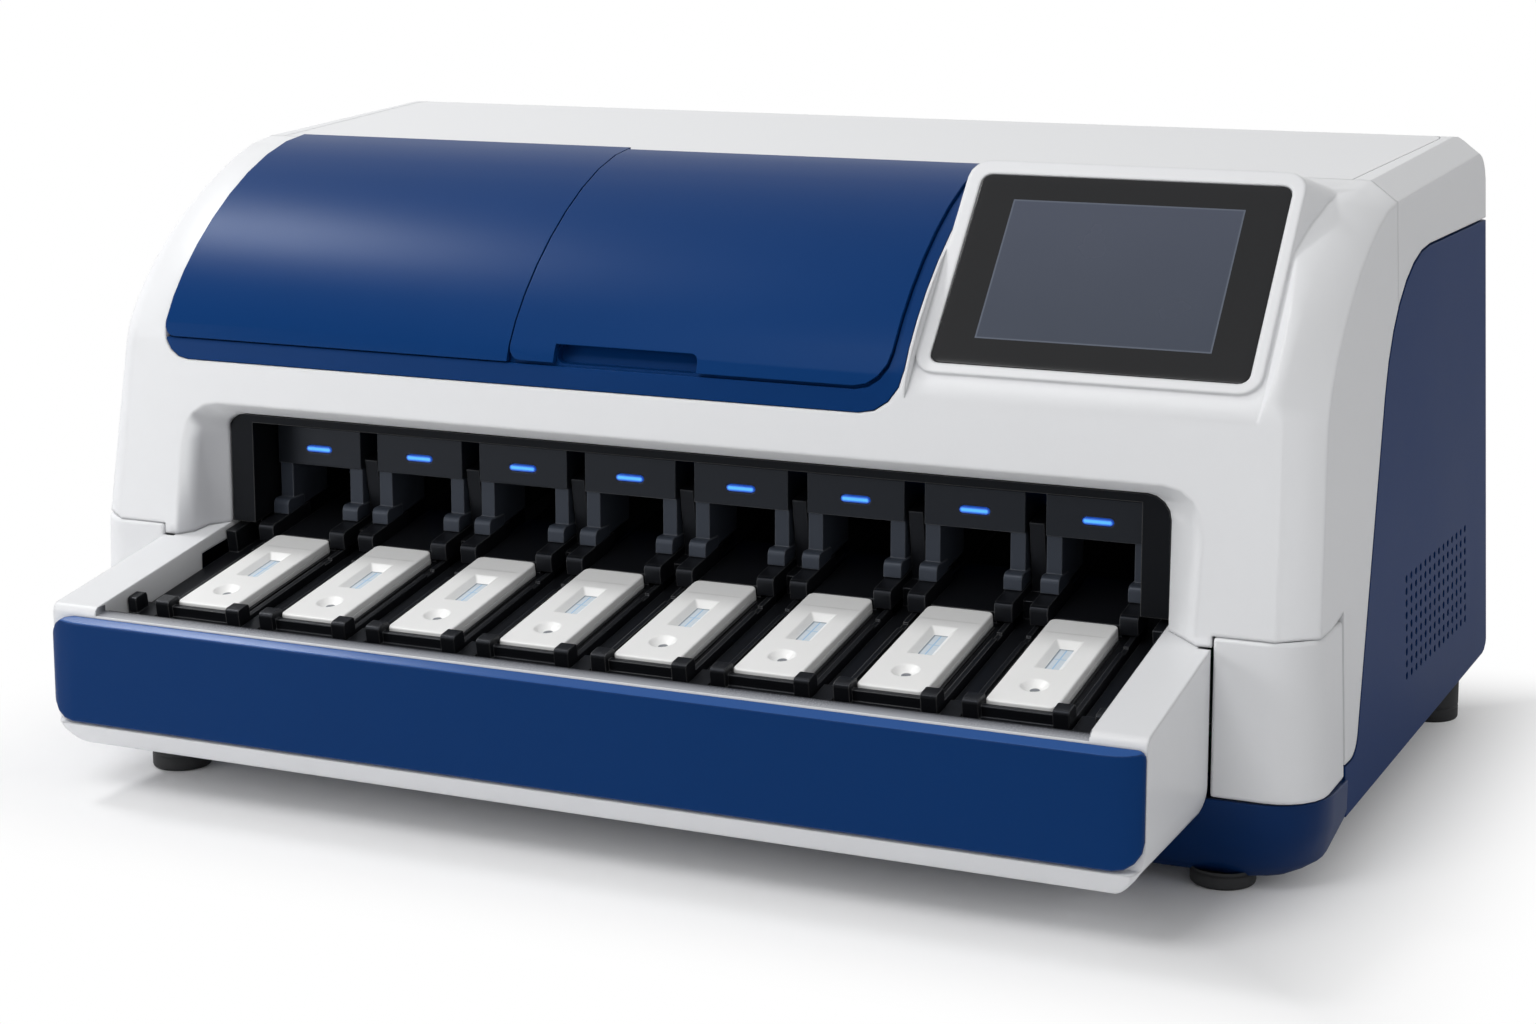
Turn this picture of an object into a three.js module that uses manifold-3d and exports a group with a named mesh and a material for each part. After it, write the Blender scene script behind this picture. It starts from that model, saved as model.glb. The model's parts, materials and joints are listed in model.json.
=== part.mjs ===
// Eight-channel bench reader for lateral-flow test cassettes.
// Millimetres, +X to the right, +Y to the back, +Z up. The origin lies on the floor under the
// middle of the instrument. Every piece is one closed solid in its own named mesh.
import * as THREE from "three";
import { mergeVertices } from "three/addons/utils/BufferGeometryUtils.js";
import Module from "manifold-3d";

const wasm = await Module();
wasm.setup();

// Sizes

const channelCount = 8;
const channelPitch = 47;
const datumZ = 3; // the body's datum plane lies this far above the floor
const seamGap = 0.3; // joint line between pieces that rest on each other
const shadowGap = 1.1; // open line that shows dark between two casings
const overrun = 60; // how far a cutting form runs past what it cuts
const arcSteps = 4; // facets on a small fillet
const roundSides = 16; // facets round a small turned piece

// Half widths, one from the other, from the lanes outwards
const span = {
  deckEdge: 8.4,
  deckClear: 0.4,
  cheek: 19.8,
  tongueInset: 4.6,
  panelInset: 0.2,
  mouthInset: 4.3,
  bendInset: 6.7,
  linerInset: 0.4,
  opticsInset: 4,
  shoulder: 35,
  rearSpread: 8.7,
  keelSpread: 2.5,
  hoodInset: 28.6,
  screenInset: 25.7,
  supplyInset: 19.6,
  boardInset: 41.6,
  trayInset: 4.5, // from the line between two lanes to a tray; the others stand beyond the tray
  laneClear: 0.8,
  shoulderClear: 1.2,
  headClear: 0.5,
  knuckleClear: 1,
};
const halfLanes = (channelCount * channelPitch) / 2;
const halfDeck = halfLanes + span.deckEdge;
const halfTrough = halfDeck + span.deckClear;
const halfThroat = halfTrough - seamGap;
const halfBench = halfTrough + span.cheek;
const halfMouth = halfBench - span.mouthInset;
const halfSeam = halfBench + span.shoulder;
const halfRear = halfSeam + span.rearSpread;

// Upper casing: side profile, half widths and the facet that runs along every front and roof edge
const casing = {
  wall: 3,
  rearY: 170.3,
  seamY: -93.6,
  seamZ: 88,
  fasciaTopY: -81.5,
  fasciaTopZ: 160,
  crownY: 24,
  crownZ: 234.1,
  crownLead: 24,
  crownTrail: 48,
  crownSteps: 10,
  roofRearZ: 240.9,
  rearRadius: 18,
  rearSteps: 6,
  keelFrontZ: 15.3,
  keelRearZ: 24.4,
  keelRadius: 9,
  halfSeam,
  halfRear,
  halfKeel: halfRear + span.keelSpread,
  facetFrontDepth: 11,
  facetFrontWidth: 13.2,
  facetRoofDepth: 7.5,
  facetRoofWidth: 10,
  facetRearDepth: 3,
  facetRearWidth: 3,
};
const facetInsetShares = { slide: 0.4, sink: 0.47 }; // how the facet's two edges follow an inward offset

// Opening in front of the channels: three rings, two of them parallel to the leaning front
const cavity = {
  halfMouth,
  mouthZ: 137.5,
  mouthRadius: 16,
  mouthProud: 0.5,
  halfBend: halfMouth - span.bendInset,
  bendZ: 133.4,
  bendRadius: 12,
  bendDepth: 5,
  halfThroat,
  throatZ: 132,
  throatY: -76,
  throatRadius: 9,
  rimDepth: 5,
  rimWidth: 4,
};

// Leaning screen block at the right of the front
const screenSpan = {
  width: 127.7, height: 94.3, glassInsetX: 10.5, glassInsetV: 10.7, displayInsetX: 20.2, displayInsetV: 14.6,
};
const glass = {
  width: screenSpan.width - screenSpan.glassInsetX, height: screenSpan.height - screenSpan.glassInsetV,
};
const screen = {
  lean: THREE.MathUtils.degToRad(41.5),
  footY: -75,
  footZ: 169,
  leftX: halfSeam - span.screenInset - screenSpan.width,
  width: screenSpan.width,
  recess: 1.2,
  recessDrop: 12,
  recessSpread: 12,
  recessRise: 13,
  height: screenSpan.height,
  corner: 8,
  depth: 26,
  cheek: 9.5,
  brow: 12,
  faceWall: 3,
  bezelLeft: 5.8,
  bezelBottom: 4.4,
  glassWidth: glass.width,
  glassHeight: glass.height,
  glassCorner: 4,
  glassThick: 1.2,
  glassSeat: 1.6,
  ledge: 4,
  displayWidth: glass.width - screenSpan.displayInsetX,
  displayHeight: glass.height - screenSpan.displayInsetV,
  displayThick: 4.5,
};

// Blue hood over the left and the middle of the front
const door = {
  gapRight: 1.2, frameRight: 5.8, width: 155.1, notchInset: 19.4, notchWidth: 60,
  bayInset: 11.9, bayWidth: 132,
};
const hoodRightX = screen.leftX - door.gapRight;
const doorRightX = hoodRightX - door.frameRight;
const doorLeftX = doorRightX - door.width;
const hood = {
  leftX: span.hoodInset - halfSeam,
  rightX: hoodRightX,
  bottomZ: 153.4,
  leftRadius: 12,
  rightRadius: 16,
  sheetDepth: 1.9,
  sheetWall: 3,
  coverProud: 1.2,
  coverWall: 2.8,
  coverZ: 162.4,
  splitX: doorLeftX,
  doorRightX,
  doorZ: 163.2,
  doorLeftRadius: 5,
  doorRightRadius: 13,
  notchLeftX: doorLeftX + door.notchInset,
  notchRightX: doorLeftX + door.notchInset + door.notchWidth,
  notchHeight: 6.8,
  notchRadius: 3,
  notchDepth: 5.4,
  notchFloor: 2,
  lineGap: 0.6,
  barrelRadius: 3.2,
  pinRadius: 0.8,
  pinReach: 4,
  earSide: 5,
};
const bay = {
  leftX: doorLeftX + door.bayInset, rightX: doorLeftX + door.bayInset + door.bayWidth,
  floorZ: 178, rearY: 8, wall: 1.6, lintelZ: 174, flange: 4,
};

// Top lid, set into the roof
const lid = { insetFront: 16.3, insetRear: 12.5, rearY: 158, corner: 14, thick: 3, ledge: 8, ledgeWall: 2 };

// Blue side panels
const panel = {
  thick: 2.2,
  topZ: 205,
  kneeY: 22,
  kneeRadius: 72,
  kneeSteps: 7,
  toeY: -38.5,
  toeZ: 34.8,
  toeRadius: 14,
  frontY: -53.4,
};
const vent = {
  columns: 14,
  rows: 9,
  frontY: 34,
  rearY: 129,
  bottomZ: 46,
  topZ: 83.4,
  halfWidth: 1.6,
  halfHeight: 1.6,
  sides: 6,
};

// White corner pieces and the blue base under them
const corner = { frontY: -94.2, rearY: -54, radius: 21, topProud: 0.7, footProud: 3, wall: 3, footZ: 31 };
const base = {
  topZ: 30.4, waistZ: 20, tuck: 8, cornerRadius: 24, floor: 3, wall: 2.6, chinZ: 1.8, chinDepth: 14,
};
const chinRound = { rise: 0.3, inset: 0.4 }; // where the rounding of the base's foot bends, as shares of it

// Tray housing that stands out in front of the body
const bench = {
  incline: THREE.MathUtils.degToRad(9.76),
  originY: -141.5,
  originZ: 70.7,
  rimHeight: 4.6,
  frontRim: 1.8,
  frontRadius: 3.4,
  halfWidth: halfBench,
  halfTrough,
  frontY: -166,
  lipY: -169.4,
  lipZ: 26.2,
  shelfZ: 27,
  rearY: -94.6,
  tongueY: -62,
  tongueDrop: 6,
  tongueHalf: halfBench - span.tongueInset,
  keelFrontY: -163,
  keelFrontZ: 16.8,
  keelRearZ: 10.4,
  rearRadius: 12,
  sideRadius: 10,
  wall: 3,
  troughFront: -18.8,
  ledgeWidth: 9,
  ledgeRearY: -97,
};
const fascia = {
  frontY: -170.3,
  bottomZ: 27.3,
  topZ: 67.8,
  chamferHeight: 2,
  chamferDepth: 3.4,
  cornerRadius: 10,
  topRadius: 3,
  endReach: 14,
  endSteps: 5,
  halfWidth: halfBench - span.panelInset,
};

// Test cassette; its front top edge is the zero line of every lane
const cassette = {
  width: 25.46,
  length: 70,
  thick: 5,
  corner: 2.4,
  cornerSteps: 3,
  edge: 0.7,
  wellU: 15,
  wellSides: 12,
  wellRadius: 5,
  wellFloor: 1.9,
  wellDepth: 1.6,
  funnelHalf: 4.95,
  funnelFront: 28.8,
  funnelRear: 53,
  windowHalf: 2.6,
  windowFront: 32.6,
  windowRear: 49.4,
  windowDepth: 2,
  stepU: 58.4,
  stepWidth: 0.5,
  stepDepth: 0.25,
};

// Sliding tray
const halfTray = channelPitch / 2 - span.trayInset;
const trayReach = { rear: 2, rib: 4, platform: 42 }; // past the cassette's rear end, or short of it
const tray = {
  half: halfTray,
  frontU: -5,
  rearU: cassette.length + trayReach.rear,
  underside: -8,
  seat: -5.3,
  wallTop: -1.2,
  wallThick: 2.3,
  clipInner: 13.05,
  clipRearU: 2.4,
  clipTop: 1.6,
  clipRadius: 1.4,
  railWidth: 2,
  railTop: -3.3,
  ribInner: 13.1,
  ribWidth: 1,
  ribTop: -4.2,
  ribFront: 8,
  ribRear: cassette.length - trayReach.rib,
  notchFront: 55,
  notchRear: 60,
  platformHalf: 12.7,
  platformTop: -0.9,
  platformRear: cassette.length + trayReach.platform,
};

// Deck with eight lanes
const deck = {
  frontU: -18.2,
  rearU: 178,
  floorTop: -8.3,
  thick: 3,
  half: halfDeck,
  laneHalf: halfTray + span.laneClear,
  padTop: -4.6,
  padFront: -14,
  padRear: 6,
  dividerTop: -6.2,
  shoulderFront: 68,
  shoulderRear: 96,
  shoulderInner: 13.3,
  shoulderOuter: halfTray + span.shoulderClear,
  shoulderTop: 4.5,
  shoulderFoot: -2.7,
  shoulderRadius: 2,
  webFront: 80,
  webTop: 1,
  postHalf: 2.9,
  postFront: 89,
  postRear: 121,
  postTop: 28,
  blockFront: 62,
  blockRear: 88,
  blockTop: 3,
  frontLip: 1.4,
  frontLipTop: 1.2,
};

// Reading heads
const head = {
  half: halfTray + span.headClear,
  frontY: -60,
  rearY: -22,
  bottomZ: 109.4,
  topZ: 125.6,
  edge: 0.9,
  legInner: 13.6,
  legFrontY: -58.8,
  legRearY: -34,
  kneeZ: 95.2,
  knuckleInner: 12.9,
  knuckleOuter: halfTray + span.knuckleClear,
  knuckleY: -64,
  knuckleRadius: 2.4,
  knuckleRearY: -52,
  barHalf: 5.8,
  barHeight: 2.4,
  barSteps: 2,
  barZ: 116.3,
  barClear: 0.3,
  barProud: 0.25,
};
const guide = { thick: 3, height: 7, margin: 2 };
const optics = { frontY: -18.4, rearY: -4.4, bottomZ: 101, topZ: 127.5, pocket: 9, skin: 2.4 };

// Dark liner of the channel opening
const liner = {
  half: halfThroat - span.linerInset, topZ: 131.6, plate: 3.2, pillar: 10.5,
  frontY: -75.6, rearY: -2, rearWall: 1.8, tunnelZ: 98.6,
};

// Rear panel and what it carries
const rear = { bottomZ: 30, thick: 2 };
const fan = {
  x: 150, z: 128, side: 60, depth: 15, bore: 28, hub: 11, blades: 7, bladeThick: 1.6, bladeTip: 26.6,
  corner: 4, strut: 3, plate: 2, rows: 6, slotHeight: 4, slotPitch: 7.6,
  slotShares: [0.52, 0.8, 0.94, 0.94, 0.8, 0.52],
};
const inlet = {
  x: -150, z: 74, width: 27, height: 20, depth: 24, flangeWidth: 48, flangeHeight: 24, flange: 2.4,
  socketWidth: 24, socketHeight: 16.5, socketDepth: 15, corner: 4,
  pinWidth: 2, pinHeight: 4, pinDrop: 3, pinPitch: 7,
};
const rocker = {
  x: -150, z: 104, width: 13, height: 19.4, depth: 12, frameWall: 2, frame: 2.2, tilt: 10,
  hubRadius: 1.5, faceDepth: 4, proud: 0.6, clear: 0.4, steps: 14,
};
const ports = {
  x: -58, z: 74, width: 52, height: 17, depth: 18, lanWidth: 15, lanHeight: 13,
  usbWidth: 6, usbHeight: 13.2, pocket: 12, pitch: 11, margin: 4,
};

// Inner units
const board = {
  leftX: -60, rightX: halfSeam - span.boardInset, frontY: -40, rearY: 120, z: 36, thick: 1.6,
  standoff: 3.4, standoffInset: 8,
  chip: 22, chipTall: 3, plugLong: 60, plugDeep: 8, plugTall: 10, sinkSide: 36, sinkTall: 18,
};
const supply = {
  leftX: span.supplyInset - halfSeam, rightX: -96, frontY: 20, rearY: 130, height: 40, lip: 2,
};

const foot = {
  radius: 11.6, sides: 20, tread: 1,
  benchInset: 21.6, frontLeftY: -117, cornerInset: 35.6, frontRightY: -80.4, rearInset: 19.1, rearY: 152,
};

// Finishes

const finish = (color, roughness, metalness = 0) => ({ color, roughness, metalness });
const white = finish(0xe9eaec, 0.42);
const blueSatin = finish(0x1d3f7d, 0.38);
const blueGloss = finish(0x17366f, 0.22);
const blueSide = finish(0x24365c, 0.4);
const black = finish(0x17181a, 0.5);
const charcoal = finish(0x232529, 0.45);
const cassetteWhite = finish(0xf3f3f2, 0.45);
const rubber = finish(0x111214, 0.85);
const glow = finish(0x3aa0ff, 0.3);
const glassBlack = finish(0x101113, 0.12);
const displayGrey = finish(0x3a4351, 0.3);
const steel = finish(0xa9adb2, 0.35, 0.8);
const boardGreen = finish(0x1c5a3a, 0.5);

// Solids from closed geometries

const V2 = (x, y) => new THREE.Vector2(x, y);
const V3 = (x, y, z) => new THREE.Vector3(x, y, z);

function solidFrom(geometry, matrix = new THREE.Matrix4()) {
  const bare = new THREE.BufferGeometry();
  bare.setAttribute("position", geometry.getAttribute("position").clone());
  if (geometry.index) bare.setIndex(geometry.index.clone());
  bare.applyMatrix4(matrix);
  const merged = mergeVertices(bare, 1e-4);
  const vertProperties = new Float32Array(merged.attributes.position.array);
  const make = (triVerts) => new wasm.Manifold(new wasm.Mesh({ numProp: 3, vertProperties, triVerts }));
  const triVerts = new Uint32Array(merged.index.array);
  const made = make(triVerts);
  if (made.volume() > 0) return made;
  const turned = triVerts.slice();
  for (let i = 0; i < turned.length; i += 3) [turned[i + 1], turned[i + 2]] = [turned[i + 2], turned[i + 1]];
  return make(turned);
}

const join = (first, ...others) => others.reduce((sum, next) => sum.add(next), first);
const cut = (first, ...others) => others.reduce((rest, next) => rest.subtract(next), first);
const common = (first, ...others) => others.reduce((rest, next) => rest.intersect(next), first);

// An outline of [a, b] pairs pushed along an axis: x takes (y, z), y takes (x, z), z takes (x, y).
function prism(axis, outline, from, to) {
  const shape = new THREE.Shape(outline.map((p) => (p.isVector2 ? p : V2(p[0], p[1]))));
  const geometry = new THREE.ExtrudeGeometry(
    shape, { depth: to - from, bevelEnabled: false, curveSegments: 1 },
  );
  geometry.translate(0, 0, from);
  const columns = {
    x: [V3(0, 1, 0), V3(0, 0, 1), V3(1, 0, 0)],
    y: [V3(1, 0, 0), V3(0, 0, 1), V3(0, 1, 0)],
    z: [V3(1, 0, 0), V3(0, 1, 0), V3(0, 0, 1)],
  }[axis];
  return solidFrom(geometry, new THREE.Matrix4().makeBasis(...columns));
}

function box(x0, x1, y0, y1, z0, z1) {
  const geometry = new THREE.BoxGeometry(x1 - x0, y1 - y0, z1 - z0);
  geometry.translate((x0 + x1) / 2, (y0 + y1) / 2, (z0 + z1) / 2);
  return solidFrom(geometry);
}

// A straight round bar between two ends of one axis, at the place (a, b) on the other two.
function bar(axis, a, b, radius, from, to, sides = roundSides) {
  const ring = Array.from({ length: sides }, (_, i) => {
    const t = ((i + 0.5) * 2 * Math.PI) / sides;
    return [a + radius * Math.cos(t), b + radius * Math.sin(t)];
  });
  return prism(axis, ring, from, to);
}

const areaOf = (ring) => THREE.ShapeUtils.area(ring);

// Rings of equally many points joined in order, with a flat or nearly flat cap on each end.
function loft(rings, flat) {
  const count = rings[0].length;
  const points = rings.flat();
  const faces = [];
  for (let k = 0; k + 1 < rings.length; k++)
    for (let i = 0; i < count; i++) {
      const a = k * count + i;
      const b = k * count + ((i + 1) % count);
      faces.push(a, b, b + count, a, b + count, a + count);
    }
  [0, rings.length - 1].forEach((k) => {
    const ring = rings[k].map((p) => flat(p));
    const way = Math.sign(areaOf(ring)) * (k ? 1 : -1);
    THREE.ShapeUtils.triangulateShape(ring, []).forEach(([a, b, c]) => {
      const same = Math.sign(areaOf([ring[a], ring[b], ring[c]])) === way;
      faces.push(...(same ? [a, b, c] : [a, c, b]).map((i) => i + k * count));
    });
  });
  const geometry = new THREE.BufferGeometry();
  geometry.setAttribute(
    "position", new THREE.Float32BufferAttribute(points.flatMap((p) => [p.x, p.y, p.z]), 3),
  );
  geometry.setIndex(faces);
  return solidFrom(geometry);
}
const flatYZ = (p) => V2(p.y, p.z);
const flatXY = (p) => V2(p.x, p.y);
const flatXZ = (p) => V2(p.x, p.z);

// An outline whose corners carry fillets, each limited by the walls beside it.
function rounded(corners, steps = arcSteps) {
  const out = [];
  corners.forEach(([x, y, radius = 0], i) => {
    const here = V2(x, y);
    if (!radius) return out.push(here);
    const before = corners[(i + corners.length - 1) % corners.length];
    const after = corners[(i + 1) % corners.length];
    const u = V2(before[0] - x, before[1] - y);
    const v = V2(after[0] - x, after[1] - y);
    const room = Math.min(u.length(), v.length()) / 2;
    u.normalize();
    v.normalize();
    const half = Math.acos(THREE.MathUtils.clamp(u.dot(v), -1, 1)) / 2;
    const reach = Math.min(radius / Math.tan(half), room);
    const r = reach * Math.tan(half);
    const centre = u.clone().add(v).normalize().multiplyScalar(r / Math.sin(half)).add(here);
    const start = u.clone().multiplyScalar(reach).add(here).sub(centre);
    const end = v.clone().multiplyScalar(reach).add(here).sub(centre);
    const turn = Math.atan2(start.cross(end), start.dot(end));
    for (let s = 0; s <= steps; s++)
      out.push(start.clone().rotateAround(V2(0, 0), (turn * s) / steps).add(centre));
  });
  return out;
}
const rectangle = (x0, x1, y0, y1, r0 = 0, r1 = r0, r2 = r0, r3 = r0) =>
  rounded([[x0, y0, r0], [x1, y0, r1], [x1, y1, r2], [x0, y1, r3]]);

// A closed clockwise outline with every edge moved inwards by its own distance.
function offsetOutline(points, distances) {
  const count = points.length;
  const normals = points.map((p, i) => {
    const q = points[(i + 1) % count];
    return V2(q.y - p.y, p.x - q.x).normalize();
  });
  return points.map((p, i) => {
    const j = (i + count - 1) % count;
    const [n1, n2, d1, d2] = [normals[j], normals[i], distances[j], distances[i]];
    if (n1.dot(n2) > 0.5) {
      const m = n1.clone().add(n2).normalize();
      return m.multiplyScalar((d1 + d2) / 2 / m.dot(n1)).add(p);
    }
    const det = n1.cross(n2);
    return V2((d1 * n2.y - d2 * n1.y) / det, (n1.x * d2 - n2.x * d1) / det).add(p);
  });
}

const meshes = [];
function mesh(name, solid, { color, roughness, metalness }, parent = reader) {
  const made = solid.getMesh();
  const geometry = new THREE.BufferGeometry();
  geometry.setAttribute("position", new THREE.BufferAttribute(made.vertProperties, 3));
  geometry.setIndex(new THREE.BufferAttribute(made.triVerts, 1));
  geometry.computeVertexNormals();
  const material = new THREE.MeshStandardMaterial({ color, roughness, metalness, flatShading: true });
  const piece = new THREE.Mesh(geometry, material);
  piece.name = name;
  parent.add(piece);
  meshes.push(piece);
  return piece;
}

const reader = new THREE.Group();
reader.name = "test_reader";


// Casing form

const fasciaUp = V2(casing.fasciaTopY - casing.seamY, casing.fasciaTopZ - casing.seamZ).normalize();
const roofBack = V2(casing.rearY - casing.crownY, casing.roofRearZ - casing.crownZ).normalize();

// Side profile from the front of the keel, up the front and over the roof to the rear of the keel.
// Each edge has the depth and the width of the facet beside it.
function casingProfile() {
  const { crownLead, crownTrail, crownSteps, facetFrontDepth: fd, facetFrontWidth: fw } = casing;
  const { facetRoofDepth: td, facetRoofWidth: tw, facetRearDepth: rd, facetRearWidth: rw } = casing;
  const bend = V2(casing.fasciaTopY, casing.fasciaTopZ);
  const crown = V2(casing.crownY, casing.crownZ);
  const curve = new THREE.CubicBezierCurve(
    bend,
    fasciaUp.clone().multiplyScalar(crownLead).add(bend),
    roofBack.clone().multiplyScalar(-crownTrail).add(crown),
    crown,
  );
  const points = [V2(casing.seamY, casing.keelFrontZ), V2(casing.seamY, casing.seamZ)];
  const depths = [fd, fd];
  const widths = [fw, fw];
  curve.getPoints(crownSteps).forEach((p, i) => {
    const share = (i + 0.5) / crownSteps;
    const last = i === crownSteps;
    points.push(p);
    depths.push(last ? td : fd + (td - fd) * share);
    widths.push(last ? tw : fw + (tw - fw) * share);
  });
  const corners = [
    [crown.x, crown.y], [casing.rearY, casing.roofRearZ, casing.rearRadius], [casing.rearY, casing.keelRearZ],
  ];
  const edge = rounded(corners, casing.rearSteps).slice(1, -1);
  edge.forEach((p, i) => {
    const share = (i + 0.5) / (edge.length - 1);
    const last = i === edge.length - 1;
    points.push(p);
    depths.push(last ? rd : td + (rd - td) * share);
    widths.push(last ? rw : tw + (rw - tw) * share);
  });
  points.push(V2(casing.rearY, casing.keelRearZ));
  depths.push(0);
  widths.push(0);
  return { points, depths, widths };
}
const profile = casingProfile();

const seamBackY = casing.seamY + casing.facetFrontDepth;
const flare = (casing.halfRear - casing.halfSeam) / (casing.rearY - seamBackY);
const draft = (casing.halfKeel - casing.halfRear) / (casing.seamZ - casing.keelRearZ);
// Half width of the side wall at a place of the side view.
const halfAt = (y, z) => casing.halfSeam + flare * (y - seamBackY) + draft * (casing.seamZ - z);
const lidHalfFront = halfAt(casing.crownY, casing.crownZ) - lid.insetFront;
const lidHalfRear = halfAt(lid.rearY, casing.roofRearZ) - lid.insetRear;

// Height of the middle surface over a depth y on the front or the roof.
function surfaceZ(y) {
  const line = profile.points;
  for (let i = 1; i + 2 < line.length; i++) {
    const [a, b] = [line[i], line[i + 1]];
    if (y >= a.x && y <= b.x) return a.y + ((b.y - a.y) * (y - a.x)) / (b.x - a.x);
  }
  return casing.crownZ;
}

// The whole casing as one closed form, every face moved inwards by the same distance.
const forms = new Map();
function casingForm(inset) {
  if (forms.has(inset)) return forms.get(inset);
  const { points, depths, widths } = profile;
  const last = points.length - 1;
  const middle = offsetOutline(points, points.map(() => inset));
  const sunk = depths.map((d, i) => (i === last ? inset : d + facetInsetShares.sink * inset));
  const side = offsetOutline(points, sunk);
  const vertexWidth = points.map((_, i) =>
    i === 0 ? widths[0] : i === last ? widths[last - 1] : (widths[i - 1] + widths[i]) / 2,
  );
  const half = side.map((p) => halfAt(p.x, p.y));
  const sideRing = (s) => side.map((p, i) => V3(s * (half[i] - inset), p.x, p.y));
  const middleRing = (s) =>
    middle.map((p, i) => V3(s * (half[i] - vertexWidth[i] - facetInsetShares.slide * inset), p.x, p.y));
  const form = loft([sideRing(-1), middleRing(-1), middleRing(1), sideRing(1)], flatYZ);
  forms.set(inset, form);
  return form;
}
const skin = (outer, inner) => cut(casingForm(outer), casingForm(inner));

const farX = casing.halfKeel + overrun;
const farY = casing.rearY + overrun;
const farZ = casing.roofRearZ + overrun;
const slabY = (from, to) => box(-farX, farX, from, to, -overrun, farZ);
const slabZ = (from, to) => box(-farX, farX, -farY, farY, from, to);

// Outline of the blue side panel in the side view, grown by a clearance.
function panelOutline(clear) {
  const rearEdge = farY;
  const slope = (panel.kneeY - panel.toeY) / (panel.topZ - panel.toeZ);
  const lean = Math.hypot(1, slope);
  return rounded(
    [
      [rearEdge, panel.topZ + clear],
      [panel.kneeY - clear * (lean - slope), panel.topZ + clear, panel.kneeRadius],
      [panel.toeY - clear * (lean - slope), panel.toeZ + clear, panel.toeRadius],
      [panel.frontY - clear, panel.toeZ + clear],
      [panel.frontY - clear, -overrun],
      [rearEdge, -overrun],
    ],
    panel.kneeSteps,
  );
}
const panelZone = (clear) => prism("x", panelOutline(clear), -farX, farX);

// Lane frame: u runs back along the inclined deck, w stands off it.
const cosDeck = Math.cos(bench.incline);
const sinDeck = Math.sin(bench.incline);
const laneY = (u, w) => bench.originY + u * cosDeck - w * sinDeck;
// Height of a plane parallel to the deck, w above the cassettes, over a depth y.
const planeZ = (y, w) => bench.originZ + (y - bench.originY) * Math.tan(bench.incline) + w / cosDeck;
// Everything below such a plane.
const belowPlane = (w, from = -farY, to = farY) =>
  prism("x", [[from, -farZ], [from, planeZ(from, w)], [to, planeZ(to, w)], [to, -farZ]], -farX, farX);

// Front frame

function cavityCut() {
  const ring = (half, top, radius, yAt) =>
    rectangle(-half, half, -overrun, top, 0, 0, radius, radius).map((p) => V3(p.x, yAt(p.y), p.y));
  const behindFront = (depth) => (z) => casing.seamY + ((z - casing.seamZ) * fasciaUp.x) / fasciaUp.y + depth;
  const {
    halfMouth, mouthZ, mouthProud, halfBend, bendZ, bendDepth, halfThroat, throatZ, throatY, throatRadius,
  } = cavity;
  const throat = prism(
    "y", rectangle(-halfThroat, halfThroat, -overrun, throatZ, 0, 0, throatRadius), throatY - seamGap, farY,
  );
  const funnel = loft([
    ring(halfMouth, mouthZ, cavity.mouthRadius, behindFront(-mouthProud)),
    ring(halfBend, bendZ, cavity.bendRadius, behindFront(bendDepth)),
    ring(halfThroat, throatZ, throatRadius, () => throatY),
  ], flatXZ);
  return join(funnel, throat);
}

// The screen block's own frame: x to the right, v up the leaning face, n out of it.
const faceUp = V3(0, Math.sin(screen.lean), Math.cos(screen.lean));
const faceOut = V3(0, -Math.cos(screen.lean), Math.sin(screen.lean));
const facePoint = (x, v, n) =>
  V3(x, screen.footY, screen.footZ).addScaledVector(faceUp, v).addScaledVector(faceOut, n);
const faceRing = (outline, n) => outline.map((p) => facePoint(p.x, p.y, n));
const faceBlock = (outline, from, to) => loft([faceRing(outline, from), faceRing(outline, to)], flatXZ);

function screenBlock(inset, near) {
  const { leftX: x, width: w, height: h, corner: r, depth, cheek, brow } = screen;
  const face = rectangle(x + inset, x + w - inset, inset, h - inset, r);
  const root = rectangle(x + inset, x + w + cheek - inset, inset, h + brow - inset, r);
  return loft([faceRing(root, -depth), faceRing(face, near)], flatXZ);
}
// The flat that is let into the bulging front round the screen, with a slope on its right.
function screenFlat(leftX, grow) {
  const { leftX: x, width: w, height: h, recess, recessDrop, recessSpread, recessRise } = screen;
  const low = rectangle(leftX, x + w + recess + grow, -recessDrop - grow, h + overrun);
  const high = rectangle(leftX, x + w + recessSpread + grow, -recessDrop - grow, h + overrun);
  return loft([faceRing(low, -recess - grow), faceRing(high, recessRise)], flatXZ);
}
const glassLeft = screen.leftX + screen.bezelLeft;
const glassOutline = (grow) =>
  rectangle(
    glassLeft - grow,
    glassLeft + screen.glassWidth + grow,
    screen.bezelBottom - grow,
    screen.bezelBottom + screen.glassHeight + grow,
    screen.glassCorner,
  );

const hoodOutline = (grow) =>
  rectangle(
    hood.leftX - grow, hood.rightX + grow, hood.bottomZ - grow, farZ, hood.leftRadius, hood.rightRadius, 0, 0,
  );
const hoodCut = (grow) => prism("y", hoodOutline(grow), -farY, casing.crownY + overrun);

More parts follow.
